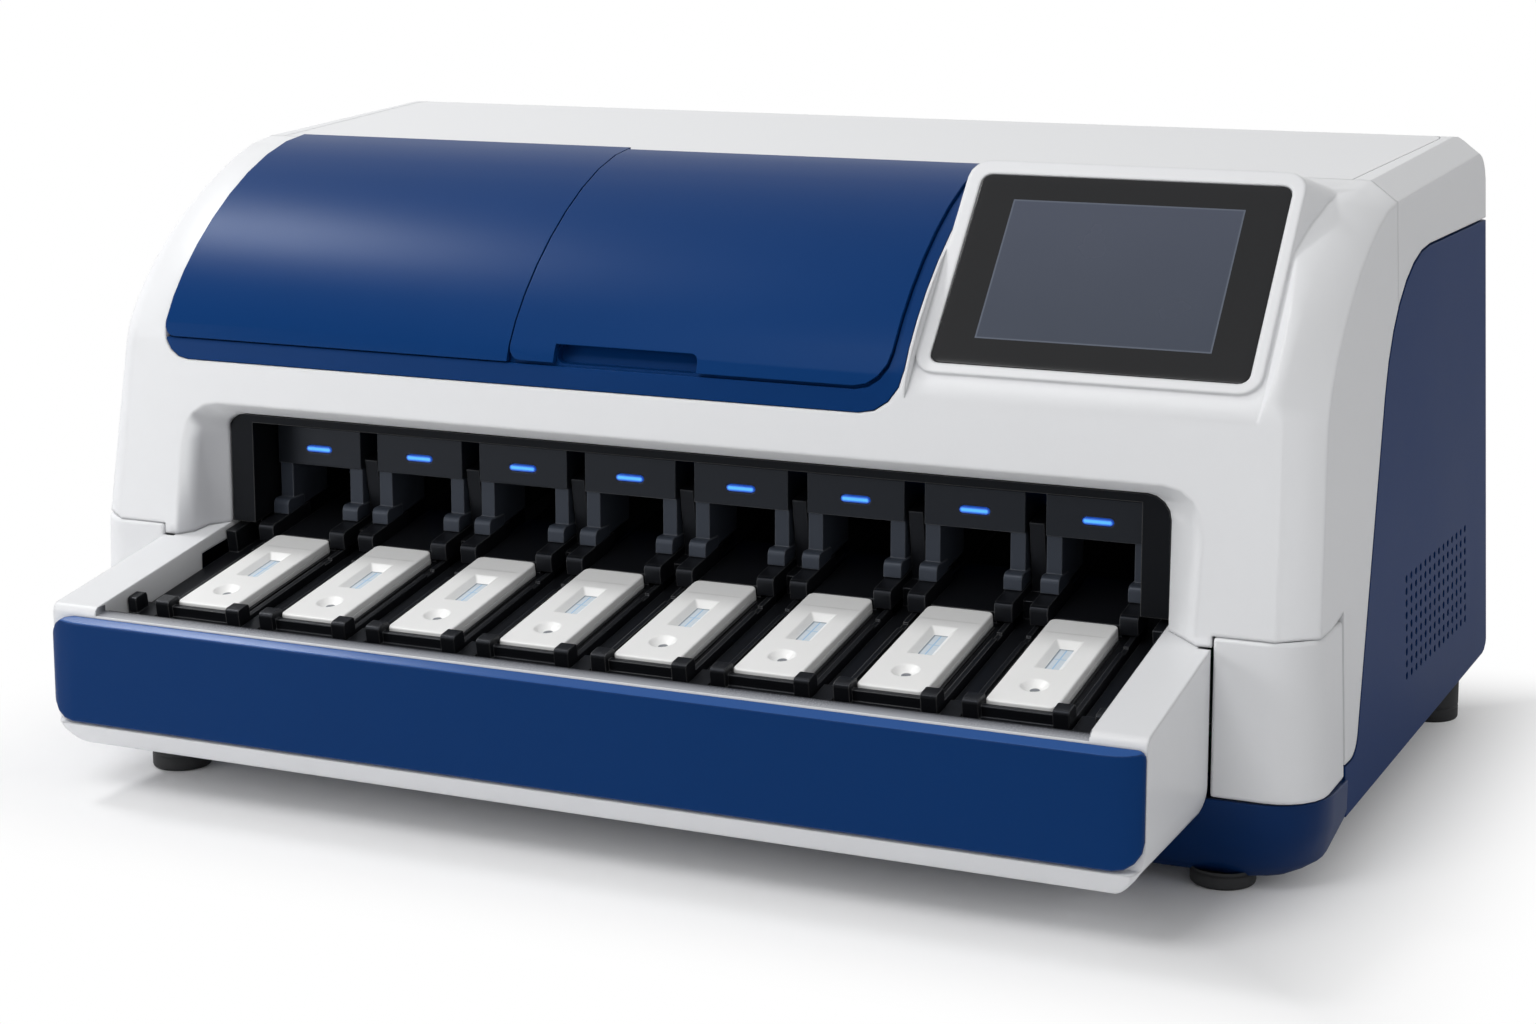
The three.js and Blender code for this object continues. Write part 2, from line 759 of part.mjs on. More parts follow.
function frontFrame() {
  const { wall, crownY } = casing;
  const rim = common(
    casingForm(0),
    box(
      -cavity.halfMouth - cavity.rimWidth, cavity.halfMouth + cavity.rimWidth, -farY,
      cavity.throatY + cavity.rimDepth, bench.originZ, cavity.mouthZ + cavity.rimWidth,
    ),
  );
  const shell = cut(
    common(join(skin(0, wall), rim), slabY(-farY, crownY)),
    panelZone(shadowGap),
    slabZ(-overrun, panel.toeZ + shadowGap),
    cut(
      box(-farX, farX, -farY, corner.rearY, -overrun, casing.seamZ),
      box(
        -bench.halfWidth, bench.halfWidth, -farY, cavity.throatY + cavity.rimDepth, bench.originZ,
        casing.seamZ,
      ),
    ),
  );
  const ledgeDepth = lid.thick + seamGap;
  const ledgeZone = box(
    -lidHalfFront, lidHalfFront, crownY - lid.ledgeWall, crownY + lid.ledge, casing.seamZ, farZ,
  );
  const crossBeam = common(skin(ledgeDepth, ledgeDepth + lid.ledgeWall), ledgeZone);
  const beamRoot = common(
    skin(seamGap, ledgeDepth + lid.ledgeWall),
    box(-lidHalfFront, lidHalfFront, crownY - lid.ledgeWall, crownY, casing.seamZ, farZ),
  );
  const opened = cut(shell, hoodCut(0), cavityCut());
  const beam = join(
    cut(beamRoot, hoodCut(0)), cut(crossBeam, hoodCut(-seamGap).intersect(slabY(-farY, crownY))),
  );
  const hollow = screenBlock(wall, -screen.faceWall);
  const block = cut(screenBlock(0, 0), hollow);
  const flatBack = common(casingForm(0), screenFlat(hood.rightX, wall), slabY(-farY, crownY - seamGap));
  return cut(
    join(cut(join(opened, flatBack), screenFlat(screen.leftX, 0), hollow), beam, block),
    faceBlock(glassOutline(seamGap), -screen.glassSeat, overrun),
    faceBlock(glassOutline(-screen.ledge), -screen.faceWall - seamGap, overrun),
    belowPlane(bench.rimHeight + seamGap, -farY, corner.rearY),
  );
}

// Roof

const lidOutline = (grow, frontY = casing.crownY) =>
  rounded([
    [-lidHalfFront - grow, frontY],
    [lidHalfFront + grow, frontY],
    [lidHalfRear + grow, lid.rearY + grow, lid.corner],
    [-lidHalfRear - grow, lid.rearY + grow, lid.corner],
  ]);
const lidZone = (grow, frontY) => prism("z", lidOutline(grow, frontY), casing.seamZ, farZ);

function topCover() {
  const { wall, crownY } = casing;
  const start = crownY + seamGap;
  const ledgeDepth = lid.thick + seamGap;
  const shell = cut(
    common(skin(0, wall), slabY(start, farY)),
    panelZone(shadowGap),
    lidZone(0),
  );
  const rim = common(cut(lidZone(wall, start), lidZone(0)), skin(0, ledgeDepth + lid.ledgeWall));
  const rearLedge = crownY + lid.ledge + seamGap;
  const ledge = common(
    cut(lidZone(wall, rearLedge), lidZone(-lid.ledge)),
    skin(ledgeDepth, ledgeDepth + lid.ledgeWall),
  );
  return common(join(shell, rim, ledge), slabY(start, farY));
}

function topLid() {
  return common(skin(0, lid.thick), lidZone(-seamGap, casing.crownY + seamGap));
}

// Hood

const coverDepth = hood.coverWall - hood.coverProud;
const hingeY = casing.crownY - hood.lineGap - hood.barrelRadius;
const hingeZ = surfaceZ(hingeY) + hood.coverProud - hood.barrelRadius;
const coverSkin = () => skin(-hood.coverProud, coverDepth);
const coverEnd = () => slabY(-farY, casing.crownY - hood.lineGap);

function hoodFrame() {
  const { leftX, rightX, coverZ, doorRightX, doorRightRadius, sheetDepth, sheetWall, lineGap } = hood;
  const area = hoodCut(-seamGap);
  const backDepth = sheetDepth + sheetWall;
  const covered = prism(
    "y",
    rectangle(leftX - overrun, doorRightX + lineGap, coverZ - lineGap, farZ, 0, doorRightRadius, 0, 0),
    -farY,
    farY,
  );
  const lip = common(cut(skin(0, backDepth), covered), area);
  const sheet = common(skin(sheetDepth, backDepth), area);
  const recessOut = common(
    skin(sheetDepth, hood.notchDepth + hood.notchFloor),
    box(
      hood.notchLeftX - sheetWall, hood.notchRightX + sheetWall, -farY, hingeY, coverZ - sheetWall,
      bay.lintelZ,
    ),
  );
  const earDepth = hood.barrelRadius + hood.earSide;
  const ears = common(
    skin(sheetDepth, earDepth),
    join(
      box(
        hood.splitX - hood.pinReach - lineGap, hood.splitX, hingeY - hood.earSide, casing.crownY - lineGap,
        bay.lintelZ, farZ,
      ),
      box(
        doorRightX + lineGap, rightX - seamGap, hingeY - hood.earSide, casing.crownY - lineGap, bay.lintelZ,
        farZ,
      ),
    ),
  );
  return common(
    cut(
      join(lip, sheet, recessOut, ears),
      prism(
        "y",
        rectangle(bay.leftX, bay.rightX, bay.lintelZ, farZ, hood.doorLeftRadius, hood.doorLeftRadius, 0, 0),
        -farY, farY,
      ),
      common(
        casingForm(-overrun / 2),
        cut(
          prism("y", rectangle(
            hood.notchLeftX, hood.notchRightX, hood.doorZ - lineGap, hood.doorZ + hood.notchHeight,
            hood.notchRadius,
          ), -farY, hingeY),
          casingForm(hood.notchDepth),
        ),
      ),
      bar("x", hingeY, hingeZ, hood.barrelRadius + lineGap, hood.splitX - seamGap, doorRightX + lineGap),
      bar(
        "x", hingeY, hingeZ, hood.pinRadius + seamGap, hood.splitX - hood.pinReach,
        doorRightX + hood.pinReach,
      ),
    ),
    slabY(-farY, casing.crownY - seamGap),
  );
}

function hoodLeftCover() {
  const { leftX, splitX, coverZ, lineGap } = hood;
  const outline = rectangle(leftX + seamGap, splitX - lineGap, coverZ, farZ, hood.doorLeftRadius, 0, 0, 0);
  return cut(
    common(coverSkin(), prism("y", outline, -farY, farY), coverEnd()),
    bar("x", hingeY, hingeZ, hood.pinRadius + seamGap, splitX - hood.pinReach - lineGap, splitX),
  );
}

function hoodDoor() {
  const { splitX, doorRightX, doorZ, barrelRadius, pinRadius } = hood;
  const outline = rectangle(splitX, doorRightX, doorZ, farZ, hood.doorLeftRadius, hood.doorRightRadius, 0, 0);
  const notch = rectangle(
    hood.notchLeftX, hood.notchRightX, doorZ - overrun, doorZ + hood.notchHeight, 0, 0, hood.notchRadius,
  );
  const sheet = common(coverSkin(), prism("y", outline, -farY, farY), slabY(-farY, hingeY));
  return cut(
    join(sheet, bar("x", hingeY, hingeZ, barrelRadius, splitX, doorRightX)),
    prism("y", notch, -farY, hingeY - overrun / 2),
    bar("x", hingeY, hingeZ, pinRadius + seamGap, splitX - overrun, doorRightX + overrun),
  );
}

function hingePin() {
  return bar(
    "x", hingeY, hingeZ, hood.pinRadius, hood.splitX - hood.pinReach + seamGap,
    hood.doorRightX + hood.pinReach - seamGap,
  );
}

function bayLiner() {
  const { leftX, rightX, floorZ, rearY, wall, flange } = bay;
  const outer = box(leftX - flange, rightX + flange, -farY, rearY + flange, floorZ - flange, farZ);
  const inner = box(leftX, rightX, -farY, rearY, floorZ, farZ);
  const hollow = box(
    leftX - flange + wall, rightX + flange - wall, -farY, rearY + flange - wall, floorZ - flange + wall, farZ,
  );
  const backDepth = hood.sheetDepth + hood.sheetWall + seamGap;
  const rim = common(cut(outer, inner), skin(backDepth, backDepth + wall));
  const walls = common(cut(outer, hollow), casingForm(backDepth));
  const notchBack = common(
    skin(0, hood.notchDepth + hood.notchFloor + seamGap),
    box(
      hood.notchLeftX - hood.earSide, hood.notchRightX + hood.earSide, -farY, hingeY, -overrun,
      bay.lintelZ + seamGap,
    ),
  );
  return cut(
    join(walls, rim), notchBack, bar("x", hingeY, hingeZ, hood.barrelRadius + hood.lineGap, -farX, farX),
  );
}

// Screen

function screenGlass() {
  return faceBlock(
    glassOutline(0), -screen.glassSeat + seamGap, -screen.glassSeat + seamGap + screen.glassThick,
  );
}

function displayPanel() {
  const middleX = glassLeft + screen.glassWidth / 2;
  const middleV = screen.bezelBottom + screen.glassHeight / 2;
  const { displayWidth: w, displayHeight: h, displayThick: t, glassSeat } = screen;
  return faceBlock(
    rectangle(middleX - w / 2, middleX + w / 2, middleV - h / 2, middleV + h / 2), -glassSeat - t, -glassSeat,
  );
}

// Side panels, corner pieces and base

function ventCuts(side) {
  const holes = [];
  const { columns, rows, frontY, rearY, bottomZ, topZ, halfWidth, halfHeight, sides } = vent;
  for (let c = 0; c < columns; c++)
    for (let r = 0; r < rows; r++) {
      const y = frontY + ((rearY - frontY) * c) / (columns - 1);
      const z = bottomZ + ((topZ - bottomZ) * r) / (rows - 1);
      const ring = Array.from({ length: sides }, (_, i) => {
        const t = ((i + 0.5) * 2 * Math.PI) / sides;
        return [y + halfWidth * Math.cos(t), z + halfHeight * Math.sin(t)];
      });
      const near = halfAt(y, z) - panel.thick - overrun / 20;
      holes.push(side > 0 ? prism("x", ring, near, farX) : prism("x", ring, -farX, -near));
    }
  return wasm.Manifold.union(holes);
}

// Side view of the body with its rear lower corner rounded.
const keelZone = () => prism("x", rounded([
  [-farY, keelZ(-farY)],
  [casing.rearY - casing.facetRearDepth / 2, keelZ(casing.rearY), casing.keelRadius],
  [casing.rearY - casing.facetRearDepth / 2, farZ],
  [-farY, farZ],
]), -farX, farX);

function sidePanel(side, vented) {
  const [near, far] = side > 0 ? [0, farX] : [-farX, 0];
  const half = box(near, far, -farY, farY, -overrun, farZ);
  const sheet = cut(common(casingForm(0), panelZone(0), keelZone(), half), sideCore(panel.thick));
  return vented ? cut(sheet, ventCuts(side)) : sheet;
}

// The casing's inner block, moved in from the side walls alone.
function sideCore(inset) {
  const ring = (s) => [
    [-farY, -overrun], [farY, -overrun], [farY, farZ], [-farY, farZ],
  ].map(([y, z]) => V3(s * (halfAt(y, z) - inset), y, z));
  return loft([ring(-1), ring(1)], flatYZ);
}

const cornerHalfFoot = casing.halfSeam + corner.footProud;

function cornerPiece(side) {
  const { frontY, rearY, radius, wall, footZ } = corner;
  const innerX = bench.halfWidth + 2 * seamGap;
  const ring = (half, z) => {
    const outer = rounded([[innerX, frontY], [half, frontY, radius], [half, rearY]], arcSteps + 2);
    const inner = rounded(
      [[half - wall, rearY], [half - wall, frontY + wall, radius - wall], [innerX, frontY + wall]],
      arcSteps + 2,
    );
    return [...outer, ...inner].map((p) => V3(side * p.x, p.y, z));
  };
  return loft(
    [ring(cornerHalfFoot, footZ), ring(casing.halfSeam + corner.topProud, casing.seamZ - seamGap)], flatXY,
  );
}

const keelClimb = (casing.keelRearZ - casing.keelFrontZ) / (casing.rearY - casing.seamY);
const keelZ = (y) => casing.keelFrontZ + keelClimb * (y - casing.seamY);

// Blue tub: a deep chin in front, then an underside that climbs to the rear.
function basePan() {
  const { topZ, waistZ, tuck, cornerRadius, floor, wall, chinZ, chinDepth } = base;
  const rearEdge = casing.rearY - rear.thick - seamGap;
  const frontEdge = corner.frontY;
  const ring = (inset, rearInset, z) => {
    const halfBack = halfAt(rearEdge, casing.keelRearZ) - inset;
    return rounded([
      [-cornerHalfFoot + inset, frontEdge + inset, cornerRadius],
      [cornerHalfFoot - inset, frontEdge + inset, cornerRadius],
      [halfBack, rearEdge - rearInset],
      [-halfBack, rearEdge - rearInset],
    ], arcSteps + 2).map((p) => V3(p.x, p.y, z));
  };
  const above = (lift) => prism("x", [
    [frontEdge - overrun, chinZ + lift],
    [frontEdge + chinDepth + lift, chinZ + lift],
    [panel.frontY, keelZ(panel.frontY) + lift],
    [farY, keelZ(farY) + lift],
    [farY, topZ + overrun],
    [frontEdge - overrun, topZ + overrun],
  ], -farX, farX);
  const bendZ = chinZ + (waistZ - chinZ) * chinRound.rise;
  const outer = loft(
    [ring(tuck, 0, chinZ), ring(tuck * chinRound.inset, 0, bendZ), ring(0, 0, waistZ), ring(0, 0, topZ)],
    flatXY,
  );
  const pocket = loft([
    ring(tuck + wall, wall, chinZ), ring(wall, wall, waistZ + floor), ring(wall, wall, topZ + overrun),
  ], flatXY);
  const inside = join(sideCore(panel.thick + seamGap), slabY(-farY, panel.frontY - seamGap));
  return common(cut(common(outer, above(0)), common(pocket, above(floor))), inside);
}

// Tray housing

function housingOutline(inset) {
  const {
    frontY, lipY, lipZ, shelfZ, rearY, keelFrontY, keelFrontZ, keelRearZ, rearRadius, rimHeight,
  } = bench;
  const top = (y) => planeZ(y, rimHeight) - inset;
  const lip = inset ? frontY : lipY;
  return rounded([
    [frontY + inset, top(frontY + inset), inset ? 0 : bench.frontRadius],
    [rearY, top(rearY)],
    [rearY, keelRearZ + inset, inset ? 0 : rearRadius],
    [keelFrontY + inset, keelFrontZ + inset, inset ? 0 : rearRadius / 2],
    [lip + inset, lipZ + (inset ? inset : 0)],
    [frontY + inset, shelfZ + inset],
  ]);
}

function trayHousing() {
  const { halfWidth, halfTrough, frontY, rearY, tongueY, tongueDrop, tongueHalf, wall, sideRadius } = bench;
  const { rimHeight, keelRearZ, troughFront, ledgeWidth, ledgeRearY } = bench;
  const across = prism(
    "y", rectangle(-halfWidth, halfWidth, keelRearZ, casing.seamZ + overrun, sideRadius, sideRadius, 0, 0),
    -farY, farY,
  );
  const inner = rectangle(
    -halfWidth + wall, halfWidth - wall, keelRearZ + wall, casing.seamZ + overrun, sideRadius - wall,
    sideRadius - wall, 0, 0,
  );
  const solid = common(prism("x", housingOutline(0), -halfWidth, halfWidth), across);
  const hollow = common(
    prism("x", [...housingOutline(wall)], -halfWidth, halfWidth), prism("y", inner, -farY, farY),
  );
  const tongue = prism("x", [
    [rearY - tongueDrop, planeZ(rearY, rimHeight) - tongueDrop],
    [rearY - tongueDrop, planeZ(rearY - tongueDrop, rimHeight)],
    [tongueY, planeZ(tongueY, rimHeight)],
    [tongueY, planeZ(tongueY, rimHeight) - tongueDrop],
  ], -tongueHalf, tongueHalf);
  const troughY = laneY(troughFront, 0);
  const trough = box(-halfTrough, halfTrough, troughY, farY, bench.shelfZ, farZ);
  const rim = box(
    -halfTrough - wall, halfTrough + wall, frontY + wall / 2, troughY,
    planeZ(frontY, bench.frontRim) - 2 * wall, farZ,
  );
  const overRim = cut(
    box(-halfTrough, halfTrough, -farY, troughY, bench.shelfZ, farZ), belowPlane(bench.frontRim),
  );
  const cheeks = [-1, 1].map((s) => {
    const [near, far] = [halfTrough, halfTrough + wall].map((x) => x * s);
    return box(Math.min(near, far), Math.max(near, far), frontY + wall, ledgeRearY, keelRearZ, farZ);
  });
  const ledges = [-1, 1].map((s) => {
    const [near, far] = [halfTrough - ledgeWidth, halfTrough + wall].map((x) => x * s);
    return common(
      box(Math.min(near, far), Math.max(near, far), frontY + wall, ledgeRearY, keelRearZ, farZ),
      belowPlane(deck.floorTop - deck.thick - seamGap),
    );
  });
  const held = common(solid, join(...cheeks));
  return join(
    cut(join(cut(solid, hollow), tongue, common(solid, rim)), trough, overRim), held,
    common(solid, join(...ledges)),
  );
}

function frontPanel() {
  const {
    frontY, bottomZ, topZ, chamferHeight, chamferDepth, cornerRadius, topRadius, endReach, endSteps,
    halfWidth,
  } = fascia;
  const back = bench.frontY - seamGap;
  const edge = rectangle(-halfWidth, halfWidth, bottomZ, topZ, cornerRadius, cornerRadius, topRadius);
  const face = prism("y", edge, frontY, back);
  const bow = Array.from({ length: endSteps + 1 }, (_, i) => {
    const t = (i / endSteps) * (Math.PI / 2);
    return [
      halfWidth - endReach * (1 - Math.sin(t)), back - seamGap - (back - seamGap - frontY) * Math.cos(t),
    ];
  });
  const plan = prism("z", [
    ...bow, [halfWidth, back], [-halfWidth, back], ...bow.map(([x, y]) => [-x, y]).reverse(),
  ], 0, farZ);
  const side = prism("x", [
    [frontY, 0], [frontY, topZ - chamferHeight], [frontY + chamferDepth, topZ], [back, topZ], [back, 0],
  ], -farX, farX);
  return common(face, plan, side);
}

// Lanes: cassettes, trays and the deck, drawn in the lane frame (x, u, w)

function cassetteBody() {
  const c = cassette;
  const half = c.width / 2;
  const ring = (inset, w) => {
    const [side, end] = [half - inset, c.length - inset];
    const corners = [[-side, inset], [side, inset], [side, end], [-side, end]];
    return rounded(corners.map((p) => [...p, c.corner]), c.cornerSteps).map((p) => V3(p.x, p.y, w));
  };
  const body = loft(
    [ring(c.edge / 2, -c.thick), ring(0, -c.thick + c.edge / 2), ring(0, -c.edge), ring(c.edge, 0)], flatXY,
  );
  const disc = (radius, w) =>
    Array.from({ length: c.wellSides }, (_, i) => {
      const t = ((i + 0.5) * 2 * Math.PI) / c.wellSides;
      return V3(radius * Math.cos(t), c.wellU + radius * Math.sin(t), w);
    });
  const rise = c.edge;
  const well = loft([
    disc(c.wellFloor, -c.wellDepth - rise), disc(c.wellFloor, -c.wellDepth), disc(c.wellRadius, 0),
    disc(c.wellRadius + rise, rise),
  ], flatXY);
  const window = (halfX, u0, u1, w) => rectangle(-halfX, halfX, u0, u1).map((p) => V3(p.x, p.y, w));
  const slope = 1 / c.windowDepth;
  const grown = (a, b) => b + (b - a) * slope;
  const funnel = loft([
    window(c.windowHalf, c.windowFront, c.windowRear, -c.windowDepth),
    window(
      grown(c.windowHalf, c.funnelHalf), grown(c.windowFront, c.funnelFront),
      grown(c.windowRear, c.funnelRear), 1,
    ),
  ], flatXY);
  const step = box(-half, half, c.stepU, c.stepU + c.stepWidth, -c.stepDepth, c.thick);
  return cut(body, well, funnel, step);
}

// Side view of a round-edged block that stands before the cassettes' front corners.
function clipOutline(lowZ) {
  const { frontU, clipRearU, clipTop, clipRadius } = tray;
  return rounded(
    [[frontU, lowZ], [clipRearU, lowZ], [clipRearU, clipTop, clipRadius], [frontU, clipTop, clipRadius]], 2,
  );
}

function trayBody() {
  const t = tray;
  const floor = box(-t.half, t.half, t.frontU, t.rearU, t.underside, t.seat);
  const front = box(-t.half, t.half, -seamGap - t.wallThick, -seamGap, t.seat, t.wallTop);
  const clips = [
    prism("x", clipOutline(t.underside), t.clipInner, t.half),
    prism("x", clipOutline(t.underside), -t.half, -t.clipInner),
  ];
  const mirrored = (a, b, ...rest) => [box(a, b, ...rest), box(-b, -a, ...rest)];
  const rails = mirrored(t.half - t.railWidth, t.half, t.clipRearU, t.rearU, t.seat, t.railTop);
  const ribs = mirrored(t.ribInner, t.ribInner + t.ribWidth, t.ribFront, t.ribRear, t.seat, t.ribTop);
  const platform = box(-t.platformHalf, t.platformHalf, t.rearU, t.platformRear, t.underside, t.platformTop);
  const notch = box(-overrun, overrun, t.notchFront, t.notchRear, t.ribTop, overrun);
  return cut(join(floor, front, ...clips, ...rails.map((r) => cut(r, notch)), ...ribs, platform));
}

const laneX = (i) => (i - (channelCount - 1) / 2) * channelPitch;

function trayDeck() {
  const d = deck;
  const floorLow = d.floorTop - d.thick;
  const pieces = [
    box(-d.half, d.half, d.frontU, d.rearU, floorLow, d.floorTop),
    box(-d.half, d.half, d.frontU, d.frontU + d.frontLip, floorLow, d.frontLipTop),
  ];
  const shoulder = (x0, x1) => prism("x", rounded([
    [d.shoulderFront, d.shoulderFoot],
    [d.shoulderRear, d.shoulderFoot],
    [d.shoulderRear, d.shoulderTop],
    [d.shoulderFront, d.shoulderTop, d.shoulderRadius],
  ], 2), x0, x1);
  for (let i = 0; i <= channelCount; i++) {
    const x = laneX(i) - channelPitch / 2; // the line between two lanes, or a lane and the edge
    const inner = channelPitch / 2 - d.laneHalf;
    const edge = i === 0 ? -1 : i === channelCount ? 1 : 0;
    const left = edge < 0 ? -d.half : x - inner;
    const right = edge > 0 ? d.half : x + inner;
    pieces.push(box(left, right, d.padRear, d.rearU, d.floorTop, d.dividerTop));
    pieces.push(box(left, right, d.padFront, d.padRear, d.floorTop, d.padTop));
    pieces.push(box(x - inner, x + inner, d.webFront, d.shoulderRear, d.floorTop, d.webTop));
    const post = [x - d.postHalf, x + d.postHalf, d.postFront, d.postRear, d.floorTop, d.postTop];
    if (!edge) pieces.push(box(...post));
    const [near, far] = [channelPitch / 2 - d.shoulderOuter, channelPitch / 2 - d.shoulderInner];
    if (edge >= 0) pieces.push(
      shoulder(x - far, x - near), box(x - far, x, d.webFront, d.shoulderRear, d.shoulderFoot, d.webTop),
    );
    if (edge <= 0) pieces.push(
      shoulder(x + near, x + far), box(x, x + far, d.webFront, d.shoulderRear, d.shoulderFoot, d.webTop),
    );
    if (edge) pieces.push(box(
      edge < 0 ? -d.half : x + inner, edge < 0 ? x - inner : d.half, d.blockFront, d.blockRear, d.floorTop,
      d.blockTop,
    ));
  }
  const stopInner = (channelPitch * (channelCount + 1)) / 2 - tray.half;
  pieces.push(
    prism("x", clipOutline(d.floorTop), stopInner, d.half),
    prism("x", clipOutline(d.floorTop), -d.half, -stopInner),
  );
  return join(...pieces);
}

// Reading head, drawn round its own lane

// Round-ended outline of a light bar in the front view, grown by a clearance.
function barOutline(x, grow) {
  const [half, tall] = [head.barHalf + grow, head.barHeight / 2 + grow];
  const corners = [
    [x - half, head.barZ - tall], [x + half, head.barZ - tall], [x + half, head.barZ + tall],
    [x - half, head.barZ + tall],
  ];
  return rounded(corners.map((p) => [...p, tall]), head.barSteps);
}

function headBody() {
  const h = head;
  const block = prism("x", [
    [h.frontY, h.bottomZ], [h.frontY, h.topZ - h.edge], [
      h.frontY + h.edge, h.topZ,
    ], [h.rearY, h.topZ], [h.rearY, h.bottomZ],
  ], -h.half, h.half);
  const foot = planeZ(h.knuckleY, 0) - overrun / 4;
  const leg = (x0, x1) => prism("x", [
    [h.legFrontY, foot], [
      h.legFrontY, h.bottomZ + h.edge,
    ], [h.legRearY, h.bottomZ + h.edge], [h.legRearY, foot],
  ], x0, x1);
  const knuckle = (x0, x1) => prism("x", rounded([
    [h.knuckleY, foot],
    [h.knuckleY, h.kneeZ, h.knuckleRadius],
    [h.knuckleRearY, h.kneeZ],
    [h.knuckleRearY, foot],
  ]), x0, x1);
  const slot = prism("y", barOutline(0, h.barClear), h.frontY - overrun, h.rearY + overrun);
  return cut(
    join(block, leg(h.legInner, h.half), leg(-h.half, -h.legInner), knuckle(h.knuckleInner, h.knuckleOuter),
      knuckle(-h.knuckleOuter, -h.knuckleInner)),
    slot,
    belowPlane(deck.shoulderTop + seamGap),
  );
}

function lightGuide() {
  const h = head;
  const behind = h.rearY + seamGap;
  const half = laneX(channelCount - 1) + h.barHalf + guide.margin;
  const strip = box(
    -half, half, behind, behind + guide.thick, h.barZ - guide.height / 2, h.barZ + guide.height / 2,
  );
  const fingers = Array.from({ length: channelCount }, (_, i) =>
    prism("y", barOutline(laneX(i), 0), h.frontY - h.barProud, behind + guide.thick / 2));
  return join(strip, ...fingers);
}

function opticsBench() {
  const o = optics;
  const half = halfLanes - span.opticsInset;
  const beam = box(-half, half, o.frontY, o.rearY, o.bottomZ, o.topZ);
  const pockets = Array.from({ length: channelCount }, (_, i) =>
    box(
      laneX(i) - o.pocket, laneX(i) + o.pocket, o.frontY + o.skin, o.rearY - o.skin, o.bottomZ + o.skin,
      o.topZ + overrun,
    ));
  return cut(beam, ...pockets);
}

function cavityLiner() {
  const l = liner;
  const outer = prism(
    "y", rectangle(-l.half, l.half, 0, l.topZ, 0, 0, cavity.throatRadius), l.frontY, l.rearY,
  );
  const inner = box(
    -l.half + l.pillar, l.half - l.pillar, -farY, l.rearY - l.rearWall, -overrun, l.topZ - l.plate,
  );
  const tunnel = box(-l.half + l.pillar, l.half - l.pillar, -farY, farY, -overrun, l.tunnelZ);
  return cut(outer, inner, tunnel, belowPlane(bench.rimHeight + seamGap * 2));
}

// Rear

function slotRows(unit) {
  return unit.slotShares.map((share, i) => {
    const z = unit.z + (i - (unit.rows - 1) / 2) * unit.slotPitch;
    const half = unit.bore * share;
    return box(
      unit.x - half, unit.x + half, casing.rearY - overrun / 4, farY, z - unit.slotHeight / 2,
      z + unit.slotHeight / 2,
    );
  });
}

function rearPanel() {
  const { bottomZ, thick } = rear;
  const area = common(sideCore(panel.thick + seamGap), slabZ(bottomZ, panel.topZ + shadowGap - seamGap));
  const back = common(skin(0, thick), area, slabY(casing.rearY - thick, farY));
  const hole = (unit, w, h) =>
    box(
      unit.x - w / 2 - seamGap, unit.x + w / 2 + seamGap, -farY, farY, unit.z - h / 2 - seamGap,
      unit.z + h / 2 + seamGap,
    );
  return cut(
    back,
    ...slotRows(fan),
    hole(inlet, inlet.width, inlet.height),
    hole(rocker, rocker.width + 2 * rocker.frameWall, rocker.height + 2 * rocker.frameWall),
    hole(ports, ports.width, ports.height),
  );
}

function fanFrame() {
  const f = fan;
  const near = casing.rearY - rear.thick - seamGap;
  const body = prism(
    "y", rectangle(f.x - f.side / 2, f.x + f.side / 2, f.z - f.side / 2, f.z + f.side / 2, f.corner),
    near - f.depth, near,
  );
  const bore = bar("y", f.x, f.z, f.bore, -farY, farY, 2 * roundSides);
  const back = near - f.depth;
  const arm = (dx, dz) => box(f.x - dx, f.x + dx, back, back + f.plate, f.z - dz, f.z + dz);
  const ring = common(
    join(arm(f.bore + f.plate, f.strut / 2), arm(f.strut / 2, f.bore + f.plate)),
    bar("y", f.x, f.z, f.bore + f.plate, -farY, farY),
  );
  return join(cut(body, bore), ring, bar("y", f.x, f.z, f.hub, back, back + f.plate));
}

function fanRotor() {
  const f = fan;
  const back = casing.rearY - rear.thick - seamGap - f.depth + f.plate + seamGap;
  const front = casing.rearY - rear.thick - 2 * seamGap - f.plate;
  const hub = bar("y", 0, 0, f.hub, back, front);
  const blades = Array.from({ length: f.blades }, (_, i) => {
    const t = (i * 2 * Math.PI) / f.blades;
    const twist = f.bladeThick * 2;
    const at = (r, side, y) => V3(
      r * Math.cos(t) - side * Math.sin(t), y, r * Math.sin(t) + side * Math.cos(t),
    );
    const section = (r) => [
      at(
        r, -twist - f.bladeThick / 2, back + f.bladeThick,
      ), at(r, twist - f.bladeThick / 2, front - f.bladeThick),
      at(
        r, twist + f.bladeThick / 2, front - f.bladeThick,
      ), at(r, -twist + f.bladeThick / 2, back + f.bladeThick),
    ];
    const flat = (p) => V2(-p.x * Math.sin(t) + p.z * Math.cos(t), p.y);
    return loft([section(f.hub - f.plate), section(f.bladeTip)], flat);
  });
  return join(hub, ...blades);
}

